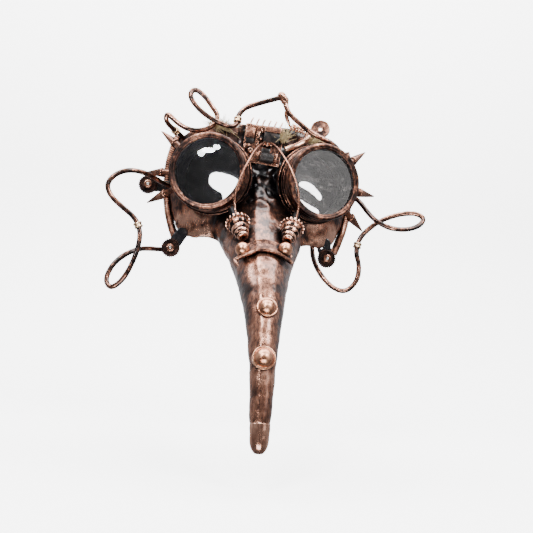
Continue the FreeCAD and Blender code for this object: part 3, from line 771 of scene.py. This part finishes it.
def make_goggles(name, side):
    place = goggle_matrix(side)
    to_local = place.inverted()

    def bore_paint(at, normal):
        local = to_local @ (at * MM) / MM
        return PAINTED_BLACK if hypot(local.x, local.y) < 26 else 0

    cup = remeshed("goggle_cup_" + name, "cup_" + name, 0.55, 2, [(0.2, 4)])
    finish(cup, "cup_metal", "cup", ["goggle_cup_" + name], smooth=80, hollows=(9, 0.5))
    add_to_wear(cup, bore_paint)

    outline = lathe(rounded(BEZEL_PROFILE, 0.3, 2), 220, wobble=0.16, seed=side)
    build("bezel_ring_" + name, [moved(outline, place)], "bezel_copper", "bezel", ["goggle_bezel_" + name],
          gain=0.5, body="bezel_" + name)

    sag = 1.1
    front = [(r, -2.2 - sag * (r / 27.5) ** 2) for r in (4, 8, 12, 16, 20, 24, 27.5)]
    back = [(r, -4.25) for r in (27.5, 20, 14, 8, 4)]
    lens = join_parts("lens_" + name, [moved(lathe_solid(front + back, 96), place)])
    look = "lens_dark" if name == "left" else "lens_grey"
    finish(lens, look, look, ["goggle_lens_" + name], smooth=30, wear=False, body="lens_" + name)

    gasket_profile = rounded([(25.4, -4.35), (27.6, -4.35), (27.6, -5.7), (25.4, -5.7)], 0.3)
    build("gasket_" + name, [moved(lathe(gasket_profile, 96, wobble=0.06), place)], "gasket_rubber",
          "rubber", ["lens_gasket_" + name], gain=0.3, body="lens_" + name)


SPIKE_ANGLES = {"left": (143, 179, 203), "right": (36, -1, -32)}
SPIKE_PROFILE = [
    (0, 34.2), (0.45, 33.8), (0.85, 31.6), (2.2, 24), (3.5, 16.6), (3.8, 15.1), (3.4, 14.5), (2.6, 14.4),
    (2.4, 13.4), (2.4, 4), (2.4, 0)]


def make_spikes(name, side):
    lean = radians(20)
    profile = rounded(SPIKE_PROFILE[::-1], 0.3, 2, closed=False)
    parts = []
    for number, angle_deg in enumerate(SPIKE_ANGLES[name]):
        angle = radians(angle_deg)
        radial = Vector((cos(angle), sin(angle), 0))
        seat = Matrix.Translation((radial * 27 - UP * 16.6) * MM)
        turn = basis(radial * cos(lean) - UP * sin(lean), UP)
        part = lathe_solid(profile, 40, wobble=0.12, seed=number + side)
        parts.append(moved(part, goggle_matrix(side) @ seat @ turn))
    build("spikes_" + name, parts, "spike_black", "spike", ["goggle_spikes_" + name], gain=0.6)


# ---- wires ----

LEFT_TENDRIL = [
    (-69.5, 19, -8), (-77, 10.5, -8), (-86, 2, -4), (-96, -8, -1.8), (-107, -13, -2.6), (-116, -15, -8),
    (-120.5, -16, -16), (-116.5, -16, -24.5), (-107, -16.5, -32), (-96.5, -17, -39.5), (-91.6, -18, -50),
    (-92.6, -21, -64), (-97.5, -22.5, -79.5), (-103.5, -21.5, -89.5), (-110.8, -19, -94.5),
    (-115.4, -16, -88), (-111.4, -13, -76), (-102, -10, -66.5), (-92, -3.5, -61.6), (-85.6, 5, -60.4),
    (-81, 13.2, -59.9), (-76, 18.4, -59.4), (-69.4, 18.3, -58.8)]
RIGHT_TENDRIL = [
    (66.6, 19.2, -0.6), (74.5, 8.2, -3.6), (79.5, -2, -8.5), (84.5, -10, -18), (91.5, -15.5, -26),
    (102, -18, -30.6), (115, -18.5, -30.8), (126, -17, -26.5), (130.6, -15, -19.5), (122.5, -12, -15.4),
    (109, -9.5, -18), (96.5, -7.5, -23.6), (86.5, -8, -31.6), (79.4, -10, -40), (77, -11.5, -51),
    (80.5, -13.5, -62), (79, -14.5, -74.5), (71, -14, -83.2), (62, -11, -81.6), (54, -5, -74),
    (49.2, 2, -65.5), (46.8, 9, -57.5), (46.2, 14.4, -49.5), (46, 14.2, -43)]
CROWN_TENDRIL = [
    (-64, 18.5, 31), (-69, 11, 34.5), (-75.5, 3, 37), (-80.8, -3, 41), (-80, -4.5, 47), (-73.5, -6, 41),
    (-65.5, -8.5, 35.4), (-56, -9.5, 33.6), (-47, -8, 36.6), (-41, -6.5, 42.5), (-40, -6, 49),
    (-46.5, -6.5, 56.5), (-53, -7.5, 64), (-60.5, -9, 67.2), (-63.6, -10.5, 61), (-58, -12, 52.6),
    (-49, -13, 45.6), (-38.5, -13.5, 40.6), (-29, -12.5, 38.8), (-24.4, -10.5, 42.5), (-24.4, -9.2, 49.5),
    (-19, -9, 56.4), (-8, -9, 61), (2.5, -9, 65), (8.6, -9, 67.4)]
BROW_TENDRIL = [
    (11.6, -9, 65.4), (13.6, -10, 58), (18.5, -11, 52), (26, -12, 46.4), (34, -13, 40.6), (42.5, -13.2, 37),
    (51, -12.4, 34.4), (58.4, -9.6, 29.4), (62.6, -8, 22)]
TENDRILS = {"tendril_left": LEFT_TENDRIL, "tendril_right": RIGHT_TENDRIL, "tendril_crown": CROWN_TENDRIL,
            "tendril_brow": BROW_TENDRIL}
FERRULES = {"ferrule_left": ("tendril_left", (-94, -17.5, -44.8)),
            "ferrule_right": ("tendril_right", (78.2, -10.8, -45.5)),
            "ferrule_crown": ("tendril_crown", (-24.4, -9.9, 46)),
            "ferrule_corner": ("tendril_crown", (-72.2, 7, 35.8))}
WIRE_RADIUS = 1.93
THIN_WIRE_RADIUS = 0.8
lines = {}


def make_tendrils():
    for number, (name, points) in enumerate(TENDRILS.items()):
        line, length = smooth_line(points, 1.1)
        lines[name] = line

        def radius(share, angle, length=length, number=number):
            along = share * length / MM
            swell = 0.16 * noise.noise(Vector((along * 0.11, number * 5.3, 0)))
            dents = 0.07 * noise.noise(Vector((along * 0.5, cos(angle) * 1.3, sin(angle) * 1.3 + number)))
            return (WIRE_RADIUS + swell + dents) * MM

        build(name + "_wire", [sweep(line, radius, 18)], "wire_copper", "wire", [name], gain=0.25,
              smooth=80)


def nearest(line, place):
    """The point of a line nearest to a place, and the line's direction there."""
    index = min(range(len(line)), key=lambda i: (line[i] - place).length)
    index = min(max(index, 2), len(line) - 3)
    return line[index], (line[index + 2] - line[index - 2]).normalized()


def make_ferrules():
    profile = [(1.7, -2.1), (2.9, -2.1), (3.3, -1.8), (3.35, -1), (2.8, -0.7), (2.8, 0.6), (3.2, 0.9),
               (3.3, 1.4), (3.1, 1.9), (2.6, 2.1), (1.7, 2.1)]
    for number, (name, (owner, spot)) in enumerate(FERRULES.items()):
        middle, direction = nearest(lines[owner], mm(*spot))
        part = lathe(rounded(profile, 0.25, 2), 32, wobble=0.15, seed=number)
        place = Matrix.Translation(middle) @ basis(direction, Vector((0, 1, 0)))
        build(name + "_collar", [moved(part, place)], "ferrule_brass", "brass", [name], gain=0.4)


def make_bulb():
    obj = remeshed("crown_bulb", "bulb", 0.3, 2, [(0.35, 2)])
    finish(obj, "bulb_bronze", "gear", ["crown_bulb"], gain=0.6, smooth=80)


# ---- bridge wires and side strips ----

def make_bridge_wires():
    top = 0.8
    for name, side in SIDES.items():
        route = [(top + side * 2.2, -8.6, 30.4), (top + side * 5.6, -15, 27.4), (side * 11, -26.5, 18.5),
                 (side * 15.2, -38.2, 8.4), (side * 20, -44.4, -3.2), (side * 23.4, -46,
                                                                       -14.5), (side * 24.2, -46.4,
                                                                                -25.5), (side * 21.8, -48,
                                                                                         -35.2)]
        line = smooth_line(route, 0.8)[0]
        build("nose_wire_" + name, [sweep(line, lambda share, angle: THIN_WIRE_RADIUS * MM, 10)],
              "thin_wire", "gear", ["bridge_wire_" + name], gain=0.1)


STRIP = [
    (70.5, 21.8, 35), (76.4, 27, 20), (77.4, 29.2, 1), (76.3, 28.3, -18), (71.2, 24.6, -38),
    (65.6, 21.9, -51)]


def make_strips():
    """Piping round the temples: ribbed like a coil zip above, plain below."""
    pitch, ribs_end = 1.75, 0.66
    for name, side in SIDES.items():
        line, length = smooth_line([(side * x, y, z) for x, y, z in STRIP], 0.3)

        def radius(share, angle, length=length):
            along = share * length / MM
            rib = 0.5 + 0.5 * cos(along * tau / pitch)
            ribbed = 1 if share < ribs_end else max(0, 1 - (share - ribs_end) * 14)
            rough = 0.18 * noise.noise(Vector((along * 0.2, cos(angle), sin(angle))))
            return (3.25 - 0.55 * ribbed * (1 - rib) + rough) * MM

        build("temple_strip_" + name, [sweep(line, radius, 20)], "strip_rubber", "strip",
              ["side_strip_" + name], gain=0.6, smooth=80, hollows=(9, 0.4))


# ---- gears, cones, studs and the strap ----

TEETH = 18
CONE_STEPS = [(7.6, 2, 6.2), (6.6, 7, 10.4), (5.4, 11.2, 14.2), (4.2, 14.9, 17.2)]


def make_gears():
    for name, side in SIDES.items():
        direction = Vector((-side * 0.26, -0.68, -0.68)).normalized()
        place = Matrix.Translation(mm(side * 20.5, -44.5, -39)) @ basis(direction, UP)
        teeth = []
        for tooth in range(TEETH):
            turn = Matrix.Rotation(tau * tooth / TEETH, 4, "Z") @ Matrix.Translation(mm(8.25, 0, 0.9))
            teeth.append(moved(block((2, 1.35, 2.5), 0.42), place @ turn))
        profile = [(5.6, -0.2), (7.7, -0.2), (8.1, 0.3), (8.1, 1.8), (7.6, 2.2), (5.6, 2.2)]
        ring = lathe(rounded(profile, 0.25, 2), 72, wobble=0.15)
        hub = lathe_solid([(0, -15), (3, -15), (3, -0.4), (6.5, -0.2), (6.5, 2), (0, 2.1)], 32)
        axle = build("gear_hub_" + name, [moved(hub, place)], "gear_copper", "cup", gain=0.4, smooth=50)
        add_to_wear(axle, lambda place, normal: -0.5)
        build("toothed_ring_" + name, teeth + [moved(ring, place)], "gear_copper", "gear",
              ["nostril_gear_" + name], gain=0.7, smooth=50, hollows=(7, 0.5, 0.4))
        profile = [(0, 1.9)]
        for radius, low, high in CONE_STEPS:
            profile += [(radius - 1.7, low), (radius - 0.25, low + 0.15), (radius, low + 0.7),
                        (radius - 0.3, high - 0.5), (radius - 0.9, high), (radius - 2.1, high + 0.1)]
        profile.append((0, 17.3))
        build("stepped_cone_" + name, [moved(lathe_solid(profile, 64, wobble=0.14, seed=side), place)],
              "gear_copper", "gear", ["step_cone_" + name], gain=0.9, smooth=50, hollows=(5, 0.75, 0.35))


def make_studs():
    for node in ("beak_stud_upper", "beak_stud_lower", "strap_stud_left", "strap_stud_right"):
        stud = remeshed(node, node + "_dome", 0.3, 3)
        finish(stud, "stud_copper", "stud", [node], gain=0.35, smooth=80, hollows=(5, 0.9, 0.4))


def make_saddle():
    """A rolled-edged band over the ridge, laid on the shell, with a leaf at its left end."""
    along = Vector((0, -0.71, -0.70)).normalized()
    centre = mm(-0.4, -46.5, -72)
    up = Vector((0, -0.70, 0.71)).normalized()
    rows, half_turn = 47, 52
    arch = []
    for row in range(rows):
        turn = radians(half_turn * (2 * row / (rows - 1) - 1))
        out = up * cos(turn) + Vector((1, 0, 0)) * sin(turn)
        hit, normal = shell_tree.ray_cast(centre + out * 0.07, -out)[:2]
        arch.append((hit if hit else centre + out * 0.022, out))
    section = [(-4.6, 0.1), (-5.4, 1.2), (-5.1, 2.6), (-4.1, 3.1), (-3, 2.4), (-1.5, 1.8), (2.8, 1.9),
               (4.6, 2.6), (5.7, 3.6), (7, 3.1), (7.4, 1.4), (6.4, 0.1), (2, 0.4), (-2, 0.4)]
    section = rounded(section, 0.6, 2)
    verts, faces = [], []
    count = len(section)
    for row, (hit, out) in enumerate(arch):
        share = abs(2 * row / (rows - 1) - 1)
        narrow = 1 - 0.28 * share ** 3
        lift = 0.35 + 1.3 * share ** 4
        for across, height in section:
            ripple = 0.25 * noise.noise(Vector((row * 0.16, across * 0.4, height)))
            slide = across * narrow + 4 * share ** 2
            verts.append(hit + along * slide * MM + out * (height + lift + ripple) * MM)
    for row in range(rows - 1):
        for i in range(count):
            j = (i + 1) % count
            faces.append((row * count + i, row * count + j, (row + 1) * count + j, (row + 1) * count + i))
    faces.append(tuple(range(count)))
    faces.append(tuple((rows - 1) * count + i for i in range(count))[::-1])
    leaf_route = [(-20.5, -52.5, -66.5), (-17.5, -56, -69.5), (-14.6, -58.6, -73), (-11.8, -61, -77.2)]
    leaf_line = smooth_line(leaf_route, 0.4)[0]

    def leaf_radius(share, angle):
        wide = 3.1 * sin(pi * min(0.12 + share * 0.86, 1)) ** 0.7
        return max(0.3, wide * (abs(cos(angle)) + 0.28 * abs(sin(angle)))) * MM

    leaf = sweep(leaf_line, leaf_radius, 18)
    build("saddle_strap", [(verts, faces), leaf], "strap_leather", "board", ["beak_strap"], gain=0.6,
          smooth=60, hollows=(5, 0.6, 0.35))


# ---- forehead board ----

def board_place():
    """The board's own frame: x across it, z up it and -y out of it."""
    front = Vector((-2.6 * MM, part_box("forehead_plate")[0].y + 0.4 * MM, 29 * MM))
    lean_back, tilt = Matrix.Rotation(radians(-1.5), 4, "X"), Matrix.Rotation(radians(4.5), 4, "Y")
    return Matrix.Translation(front) @ lean_back @ tilt


def on_board(part, x, z, depth, lean=0):
    """A part whose own -y points out of the board, moved to x, z and that far off the board's face."""
    return moved(part, board_place() @ Matrix.Translation(mm(x, -depth, z)) @ Matrix.Rotation(lean, 4, "Y"))


def slab(size, x, z, depth, bevel=0.3, lean=0):
    """A bevelled block on the board."""
    return on_board(block(size, bevel), x, z, depth, lean)


def facing(part):
    """Turns a lathed part so that its axis comes out of the board."""
    return moved(part, Matrix.Rotation(radians(90), 4, "X"))


def ring_bead(radius, height, hole=0):
    """A round bead that stands out of the board, with or without a hole."""
    if hole:
        profile = [(hole, 0), (radius, 0), (radius, height * 0.6), (radius * 0.8, height),
                   (hole * 1.2, height), (hole, height * 0.8)]
        return facing(lathe(rounded(profile, 0.25, 2), 28))
    profile = [(0, 0), (radius, 0), (radius, height * 0.45), (radius * 0.72, height * 0.9), (0, height)]
    return facing(turned(profile, 28, 0.35, 2))


def make_sheet_and_rails():
    sheet = remeshed("forehead_plate", "board_sheet", 0.32, 2, [(0.2, 2)])
    finish(sheet, "board_resin", "board", ["forehead_plate"], gain=0.8, smooth=60, hollows=(7, 0.8, 0.4))
    rails = [slab((1.5, 1.8, 16), -4.4, 2.2, 0.9), slab((1.2, 1.4, 11), -6.3, 4, 0.7, 0.25),
             slab((5.2, 1.2, 8.6), -4.4, -10.6, 0.6), slab((3.2, 1.4, 9), 11.2, -10.2,
                                                           0.7), slab((29, 1.2, 1.3), -0.4, -14.6,
                                                                      0.6), slab((1.3, 1.2, 22), -14.6, 3,
                                                                                 0.6), slab((7.4, 1.3, 1.2),
                                                                                            1.2, -6.2, 0.6)]
    for x, z in ((-5.6, 6.4), (-5.6, 3.9), (-5.5, 1.6), (-13.1, -4.6), (-4.6, -11.6), (10.6, -7.8),
                 (11.6, -12.6)):
        rails.append(on_board(ring_bead(0.95, 1.9, 0.55), x, z, 0.2))
    build("board_rails", rails, "board_resin", "gear", gain=0.6, smooth=50, hollows=(5, 0.7, 0.3))


def make_relays():
    relays = {"relay_left": (((6.9, 5.2, 8.3), -11.4, 7.1, 2.6), ((6.2, 4.2, 4.6), -11.2, 1.2, 2.1)),
              "relay_right": (((13.2, 6.2, 4.4), 5.9, 12, 3.1), ((12.4, 5, 9), 5.9, 6.4, 2.5))}
    for node, (cap_block, body_block) in relays.items():
        build(node + "_cap", [slab(*cap_block, 0.55)], "relay_plastic", "board", [node], gain=0.8,
              smooth=50, hollows=(5, 0.4, 0.4))
        build(node + "_body", [slab(*body_block, 0.4)], "relay_plastic", "plastic", gain=0.6, smooth=50)


def make_capacitors_and_resistor():
    group = join_parts("capacitor_beads", [on_board(ring_bead(2.1, 4.3), -2.6, 4.3, 0),
                                           on_board(ring_bead(2.3, 3.8, 0.7), -9.4, -6.6,
                                                    0), slab((4.2, 3, 4), -12.6, -3.6, 1.5, 0.6)])
    finish(group, "lead_metal", "gear", ["capacitors"], gain=0.7, smooth=50, hollows=(4, 0.5, 0.3))
    ribs = [slab((0.62, 7.4, 7.2), -0.4 + rib * 1.18, -11.2, 3.6, 0.28) for rib in range(9)]
    profile = [(0, -5.4), (3.3, -5.4), (3.5, -4.8), (3.5, 4.8), (3.3, 5.4), (0, 5.4)]
    core = moved(turned(profile, 40, 0.2, 2), Matrix.Rotation(radians(90), 4, "Y"))
    hump = slab((7, 3, 4.2), 2.9, -5, 1.5, 1)
    build("ribbed_barrel", ribs + [on_board(core, 4.3, -11.2, 3.4), hump], "relay_plastic", "plastic",
          ["ribbed_resistor"], gain=0.4)


def make_pin_row():
    rail = join_parts("pin_rail", [slab((25, 2, 1.5), -1.6, 13.6, 1, 0.35),
                                   slab((24, 1.4, 3), -1.8, 11.4, 0.7)])
    finish(rail, "relay_plastic", "board", ["pin_header"], gain=0.6, hollows=(4, 0.6, 0.3))
    pins = []
    bend = [(0, -1, 9.6), (0.1, -3, 11.6), (0.3, -3.5, 14.4), (0.9, -2.4, 17.6), (1.9, -0.4, 20.2)]
    for index in range(6):
        start = -12.6 + index * 4.75
        line = smooth_line([(start + x, y, z) for x, y, z in bend], 0.4)[0]
        pins.append(moved(sweep(line, lambda share, angle: (0.8 - 0.25 * share) * MM, 10), board_place()))
        pins += [slab((0.7, 1.8, 5.6), start + shift, 12.2, 1.5, 0.25, radians(4)) for shift in (1.5, 3.1)]
    build("pin_comb", pins, "lead_metal", "gear", ["header_pins"], gain=0.3, smooth=60)


def make_crown_nut():
    x, z = 3.4, 1
    crown = [on_board(ring_bead(2.4, 2.6), x, z, 0), on_board(ring_bead(1.25, 1.6), x, z, 2.5)]
    for angle in [radians(angle_deg) for angle_deg in (-20, 35, 90, 145, 200)]:
        crown.append(on_board(ring_bead(1.2, 2.2), x + 3 * cos(angle), z + 2 * sin(angle), 0.9))
    build("crown_cluster", crown, "thin_wire", "gear", ["crown_nut"], gain=0.6, smooth=60)


# ---- brow trim and jute ----

def make_brow_pipe():
    route = [(16, -8, 26.2), (22.5, -8.2, 28.9), (29.5, -6, 33.4), (34.5, -2.6, 38.6)]
    line = smooth_line(route, 0.5)[0]
    pipe = sweep(line, lambda share, angle: (2.75 + 0.12 * sin(share * 9)) * MM, 28)
    front = basis((line[0] - line[2]).normalized(), UP)
    profile = [(0, -0.4), (2.5, -0.4), (2.9, 0.1), (2.9, 0.7), (2.5, 1), (1.2, 1.1), (0.9, 0.8), (0, 0.8)]
    cap = moved(lathe_solid(profile, 40), Matrix.Translation(line[0]) @ front)
    build("brow_pipe", [pipe, cap], "brow_copper", "brow", ["brow_tube"], gain=0.2, smooth=60)


def make_brow_spring():
    start, length, turns, steps = mm(18.4, -6.4, 45.2), 15, 7, 280
    axis = Vector((15.4, 1.2, -3.6)).normalized()
    side = (FORWARD - axis * FORWARD.dot(axis)).normalized()
    other = axis.cross(side)
    helix = []
    for step in range(steps + 1):
        share = step / steps
        angle = share * turns * tau
        reach = (2.7 - 0.6 * share) * MM
        helix.append(start + axis * share * length * MM + (side * cos(angle) + other * sin(angle)) * reach)
    parts = [sweep(helix, lambda share, angle: (0.78 - 0.2 * share) * MM, 10)]
    for share, radius in ((0.1, 2.4), (0.32, 2.7), (0.52, 2.3), (0.7, 1.9)):
        profile = [(radius * r, radius * z) for r, z in ((0, -1), (0.7, -0.8), (1, 0), (0.7, 0.8), (0, 1))]
        bead = turned(profile, 24, 0.6, 3)
        middle = start + axis * share * length * MM + mm(0, -1.2, 0)
        parts.append(moved(bead, Matrix.Translation(middle) @ Matrix.Scale(0.8, 4)))
    build("brow_spring", parts, "brow_copper", "brow", ["brow_coil"], gain=0.3, smooth=60)


def make_brow_strand_and_washer():
    route = [(14.6, -9, 64), (13.4, -9.4, 57.5), (14.2, -9, 51.4), (17.2, -8.4, 46.4), (18.8, -7.6, 41.6)]

    def leaf(share, angle):
        wide = 0.55 + 1.15 * sin(pi * share) ** 2
        return wide * (abs(cos(angle)) + 0.35 * abs(sin(angle))) * MM

    line = smooth_line(route, 0.5)[0]
    build("brow_strand", [sweep(line, leaf, 14)], "brow_copper", "gear", gain=0.2, smooth=60)

    profile = [(1.3, -0.75), (7.3, -0.75), (7.75, -0.3), (7.75, 0.35), (7.2, 0.8), (6.6, 0.55), (5.6, 0.45),
               (2.4, 0.5), (1.9, 0.85), (1.3, 0.7)]
    place = Matrix.Translation(mm(43.6, 0.2, 47.2)) @ basis(Vector((-0.25, -1, 0.12)), UP)
    disc = moved(lathe(rounded(profile, 0.2, 2), 72, wobble=0.3, seed=5), place)
    build("coin_washer", [disc], "brow_copper", "board", ["brow_washer"], gain=0.4, smooth=60)


def tuft(count, low, high, lean, length, rng):
    """Loose fibres that start inside a box and fan out."""
    parts = []
    for _ in range(count):
        start = Vector([rng.uniform(a, b) for a, b in zip(low, high)])
        heading = Vector(lean) + Vector([rng.gauss(0, 0.42) for _ in range(3)])
        heading.normalize()
        bend = Vector([rng.gauss(0, 0.05) for _ in range(3)])
        reach = length * rng.uniform(0.45, 1)
        shares = (0, 0.2, 0.4, 0.6, 0.8, 1)
        line = [(start + heading * reach * t + bend * reach * t * t * 6) * MM for t in shares]
        thick = rng.uniform(0.16, 0.3)
        parts.append(sweep(line, lambda share, angle, thick=thick: thick * (1 - 0.6 * share) * MM, 5))
    return parts


def make_jute():
    rng = random.Random(11)
    left = tuft(170, (-47, -3.4, 39.5), (-30, 0.6, 43), (0.1, -0.2, 0.55), 7.5, rng)
    left += tuft(90, (-46, -3.8, 38.5), (-31, -1, 42), (0.9, -0.2, 0.1), 8.5, rng)
    right = tuft(130, (11.5, -7, 31.5), (16.5, -4.2, 36), (0, -0.15, 1), 9.5, rng)
    right += tuft(110, (31, -5.4, 33.6), (41, -2.6, 36.6), (0.5, -0.2, 0.35), 6.5, rng)
    for name, parts in (("left", left), ("right", right)):
        build("jute_fibres_" + name, parts, "jute", "jute", ["jute_tuft_" + name], wear=False, smooth=60)


# ---- wheels, brackets and eyelets ----

def make_wheel(name):
    low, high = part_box("wheel_" + name)
    middle = Matrix.Translation((low + high) / 2) @ basis(FORWARD)
    dish = lathe(rounded([(6, 0.6), (6.9, 0.6), (6.9, 1.9), (6.5, 2.25), (6.1, 2.1), (5.9, 1.2)], 0.25, 2),
                 56)
    boss = lathe(rounded([(2.2, 0.6), (3.5, 0.6), (3.5, 1.9), (3.1, 2.2), (2.2, 2.2)], 0.25, 2), 40)
    groove = lathe(rounded([(6.2, -1.6), (7.15, -1.6), (7.15, 0.9), (6.2, 0.9)], 0.2, 2), 56)
    rims = [toothed(7.7, 6.7, 26, z_low, z_high) for z_low, z_high in ((-2.25, -1.1), (0, 1.15))]
    build("knurled_" + name, [moved(part, middle) for part in rims + [dish, boss, groove]], "wheel_bronze",
          "wheel", ["wheel_" + name], gain=0.55, smooth=60, body="wheel_" + name)


def make_wheel_mount(name):
    """The pin through a wheel, with its bright nub, and the bracket that holds it."""
    low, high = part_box("wheel_pin_" + name)
    head = Matrix.Translation(Vector(((low.x + high.x) / 2, low.y, (low.z + high.z) / 2))) @ basis(FORWARD)
    profile = [(0, -10.6), (1.9, -10.6), (1.9, -1.7), (3.2, -1.6), (3.2, -0.5), (2.6, -0.1), (1.6, -0.4),
               (0, -0.4)]
    shank = turned(profile, 36, 0.25, 2, wobble=0.1)
    build("pin_" + name, [moved(shank, head)], "pin_steel", "gear", ["wheel_pin_" + name], gain=0.4,
          smooth=50)
    profile = [(0, -1), (1.15, -1), (1.15, -0.2), (0.7, 0), (0, 0)]
    nub = turned(profile, 24, 0.2, 2)
    build("pin_nub_" + name, [moved(nub, head)], "pin_steel", "pin", gain=0.4, smooth=50)
    bracket = remeshed("wheel_bracket_" + name, "bracket_" + name, 0.4, 3, [(0.25, 3.5)])
    finish(bracket, "bracket_black", "enamel", ["wheel_bracket_" + name], smooth=80, wear=False)


def make_eyelets():
    for name in SIDES:
        eyelet = remeshed("strap_eyelet_" + name, "eyelet_" + name, 0.24, 2)
        finish(eyelet, "eyelet_brass", "brass", ["strap_eyelet_" + name], gain=0.4, smooth=60)


make_camera()
make_world()
make_studio()
make_floor()
make_shell()
for name, side in SIDES.items():
    make_goggles(name, side)
    make_spikes(name, side)
make_tendrils()
make_ferrules()
make_bulb()
make_bridge_wires()
make_strips()
make_gears()
make_studs()
make_saddle()
make_sheet_and_rails()
make_relays()
make_capacitors_and_resistor()
make_pin_row()
make_crown_nut()
make_brow_pipe()
make_brow_spring()
make_brow_strand_and_washer()
make_jute()
for name in ("left_upper", "left_lower", "right_lower"):
    make_wheel(name)
    make_wheel_mount(name)
make_eyelets()
